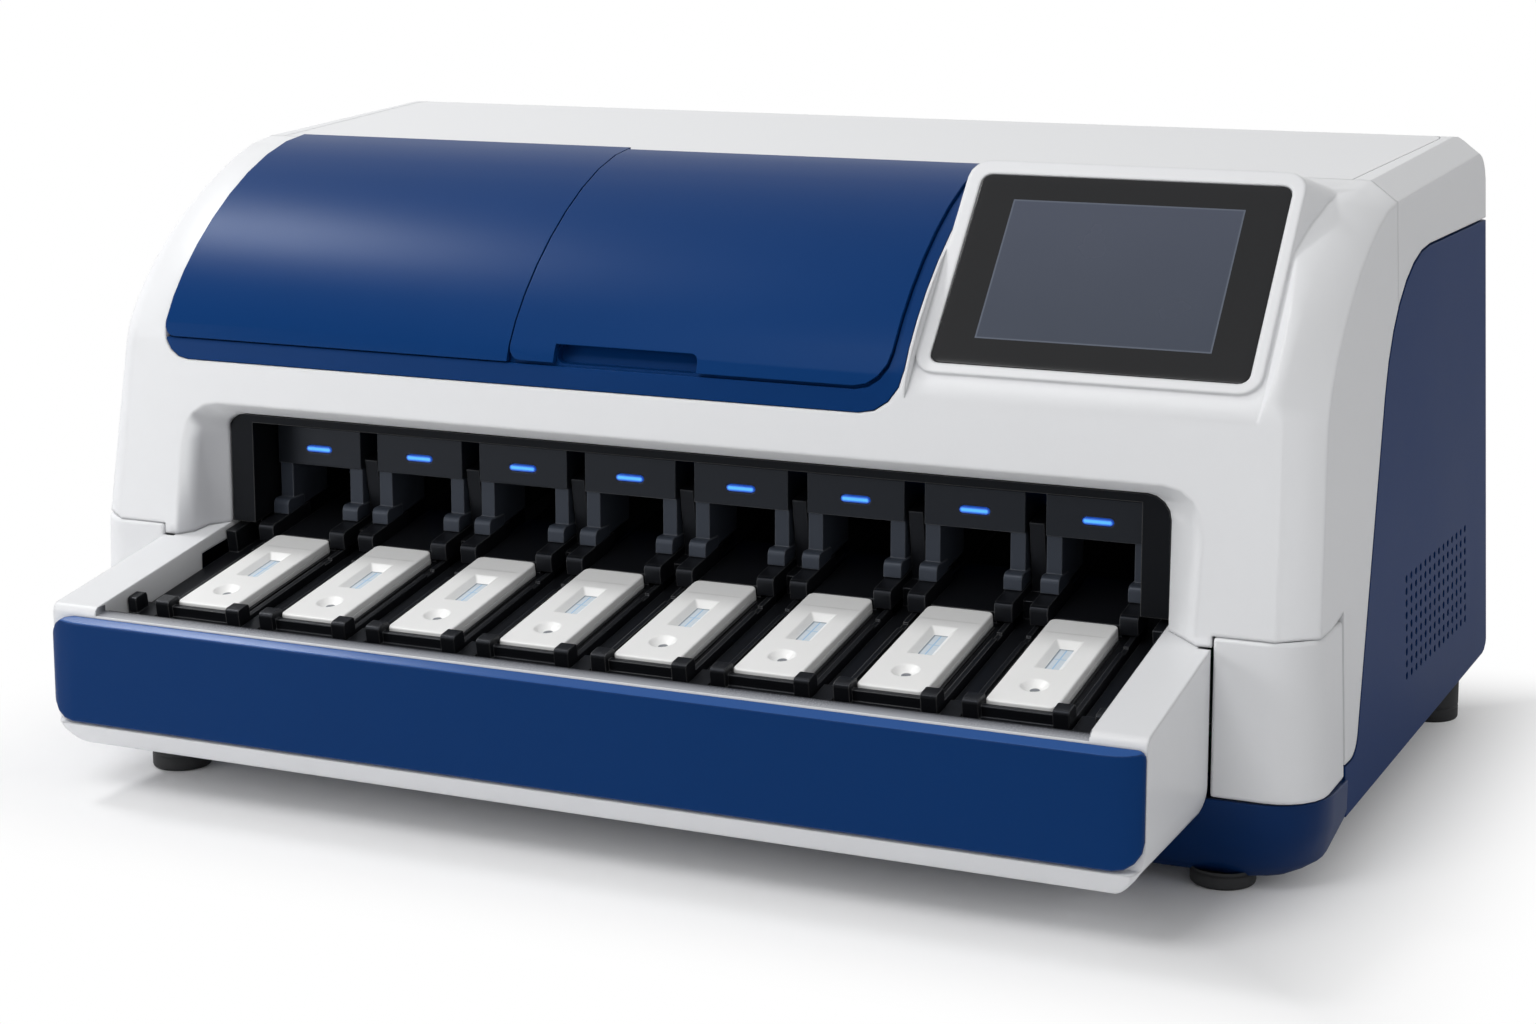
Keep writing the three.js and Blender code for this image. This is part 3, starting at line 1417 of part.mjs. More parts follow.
function powerInlet() {
  const n = inlet;
  const outside = casing.rearY + seamGap;
  const [flangeX, flangeZ] = [n.flangeWidth / 2, n.flangeHeight / 2];
  const flange = prism(
    "y", rectangle(
      n.x - flangeX, n.x + flangeX, n.z - flangeZ, n.z + flangeZ, n.corner,
    ), outside, outside + n.flange,
  );
  const body = box(
    n.x - n.width / 2, n.x + n.width / 2, outside - n.depth, outside + n.flange / 2, n.z - n.height / 2,
    n.z + n.height / 2,
  );
  const [socketX, socketZ] = [n.socketWidth / 2, n.socketHeight / 2];
  const well = prism(
    "y", rectangle(n.x - socketX, n.x + socketX, n.z - socketZ, n.z + socketZ, 0, 0, n.corner),
    outside + n.flange - n.socketDepth, farY,
  );
  const pins = [-1, 0, 1].map((k) => {
    const x = n.x + k * n.pinPitch;
    const z = n.z + (k ? -n.pinDrop / 2 : n.pinDrop / 2);
    return box(x - n.pinWidth / 2, x + n.pinWidth / 2, outside + n.flange - n.socketDepth - n.flange / 2,
      outside - n.flange, z - n.pinHeight / 2, z + n.pinHeight / 2);
  });
  return join(cut(join(flange, body), well), ...pins);
}

// The key is a disc round its pivot with one flat face, so it turns inside its frame.
const keyTilt = THREE.MathUtils.degToRad(rocker.tilt);
const keyHalfAngle = Math.acos(rocker.faceDepth / (rocker.height / 2));
const rockerY = casing.rearY + seamGap + rocker.frame + rocker.proud - rocker.faceDepth;
const keyReachY = rockerY + (rocker.height / 2) * Math.cos(keyHalfAngle - keyTilt);
function rockerFrame() {
  const r = rocker;
  const [w, h, t] = [r.width / 2 + r.clear, r.height / 2 + r.clear, r.frameWall - r.clear];
  const outside = casing.rearY + seamGap;
  const flange = box(
    r.x - w - 2 * t, r.x + w + 2 * t, outside, outside + r.frame, r.z - h - 2 * t, r.z + h + 2 * t,
  );
  const body = box(
    r.x - w - t, r.x + w + t, outside - r.depth - r.frameWall, outside + r.frame / 2, r.z - h - t,
    r.z + h + t,
  );
  return cut(
    join(flange, body),
    box(r.x - w, r.x + w, outside - r.depth, farY, r.z - h, r.z + h),
    bar("x", rockerY, r.z, r.hubRadius + seamGap, r.x - w - t / 2, r.x + w + t / 2),
  );
}

// The rocker rests with its lower half pressed in.
function rockerKey() {
  const { x, z, width, height, hubRadius, clear, frameWall, steps } = rocker;
  const start = keyHalfAngle - keyTilt;
  const outline = Array.from({ length: steps + 1 }, (_, i) => {
    const t = start + ((2 * Math.PI - 2 * keyHalfAngle) * i) / steps;
    return [rockerY + (height / 2) * Math.cos(t), z + (height / 2) * Math.sin(t)];
  });
  const reach = width / 2 + clear + (frameWall - clear) / 4;
  return join(
    prism("x", outline, x - width / 2, x + width / 2), bar("x", rockerY, z, hubRadius, x - reach, x + reach),
  );
}

function portBlock() {
  const p = ports;
  const outside = casing.rearY;
  const body = box(
    p.x - p.width / 2, p.x + p.width / 2, outside - p.depth, outside, p.z - p.height / 2, p.z + p.height / 2,
  );
  const left = p.x - p.width / 2 + p.margin;
  const pocket = (x, w, h) => box(x, x + w, outside - p.pocket, farY, p.z - h / 2, p.z + h / 2);
  const usb = [0, 1].map((k) => pocket(left + p.lanWidth + p.margin + k * p.pitch, p.usbWidth, p.usbHeight));
  return cut(body, pocket(left, p.lanWidth, p.lanHeight), ...usb);
}

// Inner units on the base floor

function mainBoard() {
  const b = board;
  const plate = box(b.leftX, b.rightX, b.frontY, b.rearY, b.z, b.z + b.thick);
  const legs = [b.leftX + b.standoffInset, b.rightX - b.standoffInset].flatMap((x) =>
    [b.frontY + b.standoffInset, b.rearY - b.standoffInset].map((y) =>
      bar("z", x, y, b.standoff, keelZ(y + b.standoff) + base.floor + seamGap, b.z + b.thick / 2, 8)));
  const top = b.z + b.thick;
  const middleX = (b.leftX + b.rightX) / 2;
  const middleY = (b.frontY + b.rearY) / 2;
  const chips = [-1, 0, 1].map((k) => {
    const x = middleX + 2 * k * b.chip;
    return box(
      x - b.chip / 2, x + b.chip / 2, middleY - b.chip / 2, middleY + b.chip / 2, top - b.thick / 2,
      top + b.chipTall,
    );
  });
  const plug = box(
    middleX - b.plugLong / 2, middleX + b.plugLong / 2, b.frontY + b.plugDeep, b.frontY + 2 * b.plugDeep,
    top - b.thick / 2, top + b.plugTall,
  );
  const sink = box(
    b.rightX - 2 * b.sinkSide, b.rightX - b.sinkSide, middleY, middleY + b.sinkSide, top - b.thick / 2,
    top + b.sinkTall,
  );
  return join(plate, ...legs, ...chips, plug, sink);
}

function powerSupply() {
  const s = supply;
  const low = keelZ(s.rearY) + base.floor + seamGap;
  const can = box(s.leftX, s.rightX, s.frontY, s.rearY, low, low + s.height);
  const opening = box(
    s.leftX + s.lip, s.rightX - s.lip, s.frontY - overrun, s.rearY - s.lip, low + s.lip,
    low + s.height - s.lip,
  );
  const core = box(
    s.leftX + 2 * s.lip, s.rightX - 2 * s.lip, s.frontY + 2 * s.lip, s.rearY - s.lip / 2, low + s.lip / 2,
    low + s.height - 2 * s.lip,
  );
  const feet = box(
    s.leftX + s.lip, s.rightX - s.lip, s.frontY, s.frontY + s.lip,
    keelZ(s.frontY + s.lip) + base.floor + seamGap, low + s.lip,
  );
  return join(cut(can, opening), core, feet);
}

function rubberFoot(topZ) {
  const { radius, sides, tread } = foot;
  const tall = topZ + datumZ;
  const outline = [V2(0, 0), V2(radius - tread, 0), V2(radius, tread), V2(radius, tall), V2(0, tall)];
  const geometry = new THREE.LatheGeometry(outline, sides);
  return solidFrom(geometry, new THREE.Matrix4().makeRotationX(Math.PI / 2));
}
const housingKeelZ = (y) => {
  const { keelFrontY, keelFrontZ, keelRearZ, rearY } = bench;
  return keelRearZ + ((keelFrontZ - keelRearZ) * (rearY - y)) / (rearY - keelFrontY);
};

// Assembly

reader.position.set(0, -(fascia.frontY + keyReachY) / 2, datumZ);

mesh("base_pan", basePan(), blueSide);
mesh("front_frame", frontFrame(), white);
mesh("top_cover", topCover(), white);
mesh("top_lid", topLid(), white);
mesh("side_panel_left", sidePanel(-1, false), blueSide);
mesh("side_panel_right", sidePanel(1, true), blueSide);
mesh("rear_panel", rearPanel(), blueSide);
mesh("corner_left", cornerPiece(-1), white);
mesh("corner_right", cornerPiece(1), white);
mesh("tray_housing", trayHousing(), white);
mesh("front_panel", frontPanel(), blueGloss);
mesh("cavity_liner", cavityLiner(), black);
mesh("hood_frame", hoodFrame(), blueSatin);
mesh("hood_left_cover", hoodLeftCover(), blueSatin);
mesh("hood_door", hoodDoor(), blueSatin);
mesh("door_hinge_pin", hingePin(), steel);
mesh("bay_liner", bayLiner(), black);
mesh("screen_glass", screenGlass(), glassBlack);
mesh("display_panel", displayPanel(), displayGrey);
mesh("optics_bench", opticsBench(), charcoal);
mesh("light_guide", lightGuide(), glow);
mesh("power_inlet", powerInlet(), black);
mesh("switch_frame", rockerFrame(), black);
mesh("power_rocker", rockerKey(), charcoal);
mesh("data_ports", portBlock(), steel);
mesh("fan_frame", fanFrame(), black);
const rotor = mesh("fan_rotor", fanRotor(), charcoal);
rotor.position.set(fan.x, 0, fan.z);
mesh("main_board", mainBoard(), boardGreen);
mesh("power_supply", powerSupply(), steel);

const laneDeck = new THREE.Group();
laneDeck.position.set(0, bench.originY, bench.originZ);
laneDeck.rotation.x = bench.incline;
reader.add(laneDeck);
mesh("tray_deck", trayDeck(), black, laneDeck);
const trayShape = trayBody();
const cassetteShape = cassetteBody();
const headShape = headBody();
for (let i = 0; i < channelCount; i++) {
  const lane = new THREE.Group();
  lane.position.x = laneX(i);
  laneDeck.add(lane);
  mesh(`tray_${i + 1}`, trayShape, black, lane);
  mesh(`cassette_${i + 1}`, cassetteShape, cassetteWhite, lane);
  mesh(`head_${i + 1}`, headShape, charcoal).position.x = laneX(i);
}

const footRearX = halfAt(foot.rearY, casing.keelRearZ) - foot.rearInset;
const feet = [
  [
    "foot_front_left", foot.benchInset - bench.halfWidth, foot.frontLeftY,
    housingKeelZ(foot.frontLeftY + foot.radius) - seamGap,
  ],
  ["foot_front_right", cornerHalfFoot - foot.cornerInset, foot.frontRightY, base.chinZ - seamGap],
  ["foot_rear_left", -footRearX, foot.rearY, keelZ(foot.rearY - foot.radius) - seamGap],
  ["foot_rear_right", footRearX, foot.rearY, keelZ(foot.rearY - foot.radius) - seamGap],
];
feet.forEach(([name, x, y, topZ]) => mesh(name, rubberFoot(topZ), rubber).position.set(x, y, -datumZ));

export default reader;
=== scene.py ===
"""Looks of an eight-channel bench reader for test cassettes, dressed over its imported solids."""

import json
import logging
import math
from dataclasses import dataclass
from enum import Enum
from functools import cache, partialmethod
from typing import Callable, Sequence

import bmesh
import bpy
import numpy as np
from bpy.types import ID, Material, Mesh, NodeSocket, NodeTree, Object
from mathutils import Matrix, Vector


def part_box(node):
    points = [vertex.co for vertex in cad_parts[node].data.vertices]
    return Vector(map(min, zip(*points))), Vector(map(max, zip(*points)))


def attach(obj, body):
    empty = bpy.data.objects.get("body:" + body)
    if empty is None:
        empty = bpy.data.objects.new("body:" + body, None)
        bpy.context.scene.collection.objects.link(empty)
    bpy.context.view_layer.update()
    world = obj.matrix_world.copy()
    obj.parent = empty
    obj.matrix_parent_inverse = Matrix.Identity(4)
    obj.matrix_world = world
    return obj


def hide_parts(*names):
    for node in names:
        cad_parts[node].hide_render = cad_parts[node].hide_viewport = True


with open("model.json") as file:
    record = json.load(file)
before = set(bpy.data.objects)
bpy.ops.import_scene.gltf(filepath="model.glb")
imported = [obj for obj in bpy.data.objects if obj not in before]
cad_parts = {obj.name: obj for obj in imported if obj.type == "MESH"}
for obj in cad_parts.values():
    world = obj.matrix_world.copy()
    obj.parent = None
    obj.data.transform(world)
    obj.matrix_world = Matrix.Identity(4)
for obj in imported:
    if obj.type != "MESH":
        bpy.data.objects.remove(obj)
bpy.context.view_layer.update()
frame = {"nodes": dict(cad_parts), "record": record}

log = logging.getLogger("reader")
MM = 0.001
WHITE = (1.0, 1.0, 1.0)
BODY_SHIFT = np.array([0.0, -2.2868673586, 3.0])  # from the body's datum to the floor frame, in mm
Colour = tuple[float, float, float]
Pair = tuple[float, float]
Rim = tuple[Pair, ...]
Place = Callable[[np.ndarray, np.ndarray, np.ndarray], np.ndarray]


def tone(code: str) -> Colour:
    """Turns a written colour such as 1d3f7d into linear light.

    Args:
        code: Six hexadecimal digits.

    Returns:
        Red, green and blue, each c/12.92 below 0.04045, else ((c + 0.055)/1.055)^2.4.
    """
    parts = [int(code[i : i + 2], 16) / 255 for i in (0, 2, 4)]
    return tuple(c / 12.92 if c <= 0.04045 else ((c + 0.055) / 1.055) ** 2.4 for c in parts)


def scaled(colour: Colour, factor: float) -> Colour:
    """A colour with each part times a factor, at most 1."""
    return tuple(min(1.0, c * factor) for c in colour)


# Shader maths


class Value:
    """A socket of a node tree that takes part in Python arithmetic; a comparison that holds is one."""

    def __init__(self, graph: "Graph", socket: NodeSocket) -> None:
        """Keeps the graph and the socket."""
        self.graph = graph
        self.socket = socket

    def math(self, operation: str, *operands: "Value | float") -> "Value":
        """Adds one Math node on this value and the operands."""
        return self.graph.node("ShaderNodeMath", {"operation": operation}, dict(enumerate((self, *operands))))

    def __rsub__(self, other: float) -> "Value":
        """A number less this value."""
        return self.graph.node("ShaderNodeMath", {"operation": "SUBTRACT"}, {0: other, 1: self})

    __add__ = __radd__ = partialmethod(math, "ADD")
    __sub__ = partialmethod(math, "SUBTRACT")
    __mul__ = __rmul__ = partialmethod(math, "MULTIPLY")
    __truediv__ = partialmethod(math, "DIVIDE")
    __abs__ = partialmethod(math, "ABSOLUTE")
    __gt__ = partialmethod(math, "GREATER_THAN")
    __lt__ = partialmethod(math, "LESS_THAN")
    lower = partialmethod(math, "MINIMUM")
    upper = partialmethod(math, "MAXIMUM")
    root = partialmethod(math, "SQRT")
    fraction = partialmethod(math, "FRACT")

    def step(self, start: float, end: float) -> "Value":
        """Zero before start, one after end and a smooth rise between.

        Args:
            start: Where the rise begins.
            end: Where the rise ends.

        Returns:
            The smooth step of this value.
        """
        settings = {"interpolation_type": "SMOOTHSTEP", "clamp": True}
        sockets = {"Value": self, "From Min": start, "From Max": end}
        return self.graph.node("ShaderNodeMapRange", settings, sockets)


class Graph:
    """A node tree that is written as arithmetic on its values."""

    def __init__(self, tree: NodeTree) -> None:
        """Takes over a tree and empties it."""
        self.tree = tree
        self.tree.nodes.clear()

    def feed(self, socket: NodeSocket, value: "Value | float | Sequence[float]") -> None:
        """Links a value to a socket, or writes a constant on it.

        Args:
            socket: The input that is fed.
            value: A linked value, a number, a colour of three parts or a vector.
        """
        if isinstance(value, Value):
            self.tree.links.new(value.socket, socket)
        elif socket.type == "RGBA" and len(value) == 3:
            socket.default_value = (*value, 1.0)
        else:
            socket.default_value = value

    def node(
        self, kind: str, settings: dict | None = None, sockets: dict | None = None, output: int | str = 0,
    ) -> Value:
        """Adds one node: its settings first, then its sockets.

        Args:
            kind: The node's type.
            settings: Attributes by name.
            sockets: Values or links by socket name or index.
            output: The output that is handed back.

        Returns:
            The chosen output.
        """
        made = self.tree.nodes.new(kind)
        for key, value in (settings or {}).items():
            setattr(made, key, value)
        for key, value in (sockets or {}).items():
            self.feed(made.inputs[key], value)
        return Value(self, made.outputs[output])

    def ray(self, kind: str) -> Value:
        """One for rays of a kind, such as Camera or Glossy, else zero."""
        return self.node("ShaderNodeLightPath", output=f"Is {kind} Ray")


class Paint(Graph):
    """A material's graph, with one principled shader at its end."""

    def __init__(self, name: str) -> None:
        """Makes an empty material of that name."""
        self.material = bpy.data.materials.new(name)
        self.material.use_nodes = True
        super().__init__(self.material.node_tree)
        self.output = self.tree.nodes.new("ShaderNodeOutputMaterial")
        self.shader = self.tree.nodes.new("ShaderNodeBsdfPrincipled")
        self.tree.links.new(self.shader.outputs[0], self.output.inputs[0])

    def surface(self, **inputs: "Value | float | Sequence[float]") -> None:
        """Feeds the principled shader; a socket's name is written with _ for each space."""
        for key, value in inputs.items():
            self.feed(self.shader.inputs[key.replace("_", " ")], value)

    def places(self) -> Value:
        """The point's place on the object, in metres."""
        return self.node("ShaderNodeTexCoord", output="Object")

    def axes(self, vector: Value) -> tuple[Value, Value, Value]:
        """A vector's three parts."""
        split = self.node("ShaderNodeSeparateXYZ", None, {0: vector})
        return tuple(Value(self, output) for output in split.socket.node.outputs)

    def noise(self, vector: Value, size: float, detail: float = 2.0) -> Value:
        """Soft noise from 0 to 1.

        Args:
            vector: Where it is read.
            size: The size of one patch, in metres.
            detail: How many finer layers lie on it.

        Returns:
            The noise as a number.
        """
        sockets = {"Vector": vector, "Scale": 1 / size, "Detail": detail}
        return self.node("ShaderNodeTexNoise", None, sockets)

    def blend(self, factor: Value, low: "Value | Colour", high: "Value | Colour") -> Value:
        """Colour that goes from low at 0 to high at 1."""
        return self.node("ShaderNodeMix", {"data_type": "RGBA"}, {0: factor, 6: low, 7: high}, 2)

    def mottled(self, factor: Value, colour: Colour, shades: Pair) -> Value:
        """A colour that goes from its first shade at 0 to its second at 1, each a factor on it."""
        return self.blend(factor, *(scaled(colour, shade) for shade in shades))

    def facing(self) -> Value:
        """The normal of the mesh's own faces."""
        return self.node("ShaderNodeNewGeometry", output="True Normal")

    def eased(self, radius: float, samples: int = 6) -> Value:
        """The normal with every edge rounded by a radius in metres."""
        return self.node("ShaderNodeBevel", {"samples": samples}, {"Radius": radius})

    def rims(self, radius: float, start: float = 0.02, end: float = 0.2) -> Value:
        """Where an edge is near.

        Args:
            radius: How far an edge reaches, in metres.
            start: The bend at which the mask begins to rise.
            end: The bend at which it is full.

        Returns:
            Zero on flats and one on edges, from one less the dot product of the eased and true normals.
        """
        sockets = {0: self.eased(radius), 1: self.facing()}
        dot = self.node("ShaderNodeVectorMath", {"operation": "DOT_PRODUCT"}, sockets, "Value")
        return (1 - dot).step(start, end)

    def relief(self, height: Value, depth: float, normal: Value | None = None) -> Value:
        """A bump from a height of 0 to 1.

        Args:
            height: The height over the surface.
            depth: What a height of 1 stands for, in metres.
            normal: The normal underneath.

        Returns:
            The bumped normal.
        """
        sockets = {"Height": height, "Distance": depth, "Strength": 1.0}
        if normal is not None:
            sockets["Normal"] = normal
        return self.node("ShaderNodeBump", None, sockets)


# Finishes


@dataclass(frozen=True)
class Finish:
    """A finish and the slot that it stands for; each kind feeds the shader in its own way.

    Lengths are in metres.
    """

    name: str
    slot: str

    def dress(self, paint: Paint, at: Value) -> None:
        """Feeds the shader.

        Args:
            paint: The material's graph.
            at: The place on the object, in metres.
        """
        raise NotImplementedError

    def make(self) -> Material:
        """Builds the node material."""
        paint = Paint(self.name)
        self.dress(paint, paint.places())
        return paint.material


@dataclass(frozen=True)
class Plastic(Finish):
    """Moulded plastic: a colour that wanders a little, a fine spark grain, softened edges and, where set, a
    painted highlight along the edges.

    A finish with marks of its own overrides ground, accent or gloss. They take the graph, the place
    on the object and what they work on, and give the new value.
    """

    colour: Colour
    roughness: float
    wander: float = 0.03
    patch: float = 0.06
    grain: float = 0.0005
    grain_depth: float = 0.000012
    edge: float = 0.0006
    specular: float = 0.4
    sheen: Colour = WHITE
    # share towards white of the painted highlight along the edges
    edge_highlight: float = 0.0
    cloud_share: float = 0.8
    cloud_roughness: float = 0.06
    fine_roughness: float = 0.04

    def ground(self, paint: Paint, at: Value, blot: Value) -> Value:
        """The moulding's own colour under its painted edge highlight: lighter and darker by the wander."""
        return paint.mottled(blot, self.colour, (1 - self.wander, 1 + self.wander))

    def accent(self, paint: Paint, at: Value, tint: Value) -> Value:
        """What lies over the painted edge highlight; plain plastic has nothing there."""
        return tint

    def gloss(self, paint: Paint, at: Value) -> Value | None:
        """What is taken off the roughness; plain plastic takes nothing."""
        return None

    def dress(self, paint: Paint, at: Value) -> None:
        """Feeds the shader."""
        cloud = paint.noise(at, self.patch, 3.0)
        fine = paint.noise(at, self.grain, 1.0)
        tint = self.ground(paint, at, cloud * self.cloud_share + fine * (1 - self.cloud_share))
        # painted highlight: near every edge the colour is lifted towards white by that share
        if self.edge_highlight:
            light = tuple(c + (1 - c) * self.edge_highlight for c in self.colour)
            tint = paint.blend(paint.rims(self.edge), tint, light)
        middle = self.roughness - (self.cloud_roughness + self.fine_roughness) / 2
        rough = cloud * self.cloud_roughness + fine * self.fine_roughness + middle
        gloss = self.gloss(paint, at)
        paint.surface(
            Base_Color=self.accent(paint, at, tint),
            Roughness=rough if gloss is None else rough - gloss,
            Normal=paint.relief(fine, self.grain_depth, paint.eased(self.edge)),
            Specular_IOR_Level=self.specular,
            Specular_Tint=self.sheen,
        )


@dataclass(frozen=True)
class FrontShell(Plastic):
    """White plastic with painted shade on the wall at the left end of the opening, which faces right, away
    from the key light.
    """

    # painted shade: the grey of the wall that faces away from the key light
    nook_shade: Colour = tone("b2b3b7")
    shade_side: float = -0.17
    shade_top: float = 0.142
    shade_turn: Pair = (0.2, 0.75)

    def accent(self, paint: Paint, at: Value, tint: Value) -> Value:
        """Paints shade on what faces right, left of the side and below the top."""
        x, _, z = paint.axes(at)
        right, _, _ = paint.axes(paint.eased(self.edge))
        # painted shade mask: right-facing surfaces at the opening's left end
        wall = right.step(*self.shade_turn) * (x < self.shade_side) * (z < self.shade_top)
        return paint.blend(wall, tint, self.nook_shade)


@dataclass(frozen=True)
class HighlitPanel(Plastic):
    """Glossy plastic with a painted highlight on the slants where it turns upwards."""

    # painted highlight: the lighter blue of upward-facing slants
    crest_highlight: Colour = tone("2b528f")
    highlight_turn: Pair = (0.3, 0.6)

    def accent(self, paint: Paint, at: Value, tint: Value) -> Value:
        """Paints the highlight on what faces up."""
        _, _, up = paint.axes(paint.facing())
        return paint.blend(up.step(*self.highlight_turn), tint, self.crest_highlight)


@dataclass(frozen=True)
class TopShadedHead(Plastic):
    """Dark plastic with painted shade above a height, where the lintel's shadow falls on it."""

    # painted shade: the darker colour of the upper part
    upper: Colour = tone("16191e")
    shade_from: float = 0.1124
    blur: float = 0.0003

    def ground(self, paint: Paint, at: Value, blot: Value) -> Value:
        """The moulding's colour below the height and the painted shade above."""
        _, _, height = paint.axes(at)
        above = height.step(self.shade_from - self.blur, self.shade_from + self.blur)
        return paint.blend(above, super().ground(paint, at, blot), self.upper)


@dataclass(frozen=True)
class BenchShell(Plastic):
    """White plastic whose front rim carries a grey glossy band: partly an inlay, partly a painted reflection
    of the dark interior, which darkens it towards the rear.
    """

    band_front: Colour = tone("a4a6ac")
    # painted reflection: the darker grey towards the band's rear edge
    band_rear_shade: Colour = tone("5c5e64")
    band_gloss: float = 0.1
    half: float = 0.1972
    front: float = -0.1678
    rear: float = -0.1621
    low: float = 0.066
    high: float = 0.0745
    blur: float = 0.0001

    def rim_band(self, paint: Paint, at: Value) -> Value:
        """One on the grey band and zero beside it, by the place on the object."""
        x, y, z = paint.axes(at)
        across = 1 - abs(x).step(self.half - self.blur, self.half)
        along = y.step(self.front - self.blur, self.front) * (1 - y.step(self.rear, self.rear + self.blur))
        return across * along * (z > self.low) * (z < self.high)

    def accent(self, paint: Paint, at: Value, tint: Value) -> Value:
        """Lays the band's colours over the white: its grey, darkened towards the rear by the painted
        reflection.
        """
        _, y, _ = paint.axes(at)
        graded = paint.blend(y.step(self.front, self.rear), self.band_front, self.band_rear_shade)
        return paint.blend(self.rim_band(paint, at), tint, graded)

    def gloss(self, paint: Paint, at: Value) -> Value:
        """Makes the band smoother than the shell."""
        return self.rim_band(paint, at) * self.band_gloss


@dataclass(frozen=True)
class CassetteShell(Finish):
    """Pale cassette plastic with the test strip that shows in its window.

    Places are metres across the cassette and along it from its front.
    """

    name: str = "cassette_shell"
    slot: str = "cassette_white"
    colour: Colour = tone("f4f4f3")
    strip: Colour = tone("ccd6df")
    line: Colour = tone("9cc3e2")
    shade: Colour = tone("8d98a4")
    # painted shade: the grey disc that stands for the hole, which the mesh does not cut
    hole_shade: Colour = tone("7c8086")
    shades: Pair = (0.97, 1.01)
    patch: float = 0.02
    strip_shades: Pair = (1.0, 1.12)
    weave: float = 0.0012
    strip_half: float = 0.00262
    front: float = 0.0325
    rear: float = 0.0494
    long_line: float = 0.0001
    long_width: Pair = (0.00014, 0.00036)
    cross_line: float = 0.0411
    cross_width: Pair = (0.0002, 0.0005)
    cross_strength: float = 0.6
    shadow: Pair = (0.0003, 0.0009)
    hole_u: float = 0.015
    hole_radius: Pair = (0.0015, 0.002)
    grain: float = 0.0004
    grain_depth: float = 0.000008
    edge: float = 0.0003
    roughness: float = 0.36
    fine_roughness: float = 0.08
    strip_roughness: float = 0.2

    def pad(self, paint: Paint, at: Value, across: Value, along: Value) -> Value:
        """The strip: a mottled pad with its blue lines, shaded under the window's walls.

        Args:
            paint: The material's graph.
            at: The place on the object.
            across: The place across the cassette.
            along: The place along it.

        Returns:
            The colour.
        """
        rule = 1 - abs(across - self.long_line).step(*self.long_width)
        cross = abs(along - self.cross_line).step(*self.cross_width)
        rule = rule.upper(self.cross_strength - cross * self.cross_strength)
        pad = paint.mottled(paint.noise(at, self.weave, 3.0), self.strip, self.strip_shades)
        pad = paint.blend(rule, pad, self.line)
        nook_shade = (across + self.strip_half).lower(self.rear - along)
        return paint.blend(1 - nook_shade.step(*self.shadow), pad, self.shade)

    def shell(self, paint: Paint, at: Value, across: Value, along: Value) -> Value:
        """The plastic, with painted shade in place of the hole at the bottom of the well; takes what pad
        takes.
        """
        shell = paint.mottled(paint.noise(at, self.patch), self.colour, self.shades)
        aside = along - self.hole_u
        away = (across * across + aside * aside).root()
        return paint.blend(1 - away.step(*self.hole_radius), shell, self.hole_shade)

    def dress(self, paint: Paint, at: Value) -> None:
        """Feeds the shader; the map u, v holds the place across and along the cassette."""
        across, along, _ = paint.axes(paint.node("ShaderNodeUVMap", {"uv_map": "lane"}))
        fine = paint.noise(at, self.grain, 1.0)
        inside = (abs(across) < self.strip_half) * (along > self.front) * (along < self.rear)
        shell, pad = self.shell(paint, at, across, along), self.pad(paint, at, across, along)
        paint.surface(
            Base_Color=paint.blend(inside, shell, pad),
            Roughness=self.roughness + fine * self.fine_roughness + inside * self.strip_roughness,
            Normal=paint.relief(fine, self.grain_depth, paint.eased(self.edge)),
        )


@dataclass(frozen=True)
class ScreenFace(Finish):
    """Black cover glass with the resting display showing through its middle.

    The display's edges are metres across the screen block and up its face.
    """

    name: str = "screen_face"
    slot: str = "screen_cover"
    border: Colour = tone("0e0f12")
    display: Colour = tone("424857")
    display_bottom: Colour = tone("363d4b")
    edge: Colour = tone("59606d")
    left: float = 0.1185
    right: float = 0.206
    low: float = 0.0157
    high: float = 0.077
    line: Pair = (0.00045, 0.00072)
    blur: float = 0.00008
    fade: Pair = (0.1, 1.1)
    dot: float = 0.0002
    dot_share: float = 0.12
    dot_light: float = 1.2
    smear: float = 0.03
    smear_depth: float = 0.000004
    roughness: float = 0.1
    smear_roughness: float = 0.08
    display_roughness: float = 0.12
    specular: float = 0.28

    def dress(self, paint: Paint, at: Value) -> None:
        """Feeds the shader; the map u, v holds the place on the glass in metres."""
        across, up, _ = paint.axes(paint.node("ShaderNodeUVMap", {"uv_map": "face"}))
        smear = paint.noise(at, self.smear, 4.0)
        reach_x = (across - self.left).lower(self.right - across)
        reach_y = (up - self.low).lower(self.high - up)
        reach = reach_x.lower(reach_y)
        inside = reach.step(-self.blur, self.blur)
        outline = inside * (1 - reach.step(*self.line))
        # the display grades darker towards its bottom
        panel = paint.blend((up / self.high).step(*self.fade), self.display_bottom, self.display)
        panel = paint.blend(outline, panel, self.edge)
        dots = paint.noise(at, self.dot, 0.0)
        panel = paint.blend(dots * self.dot_share, panel, scaled(self.display, self.dot_light))
        paint.surface(
            Base_Color=paint.blend(inside, self.border, panel),
            Roughness=self.roughness + smear * self.smear_roughness + inside * self.display_roughness,
            Normal=paint.relief(smear, self.smear_depth),
            Specular_IOR_Level=self.specular,
        )


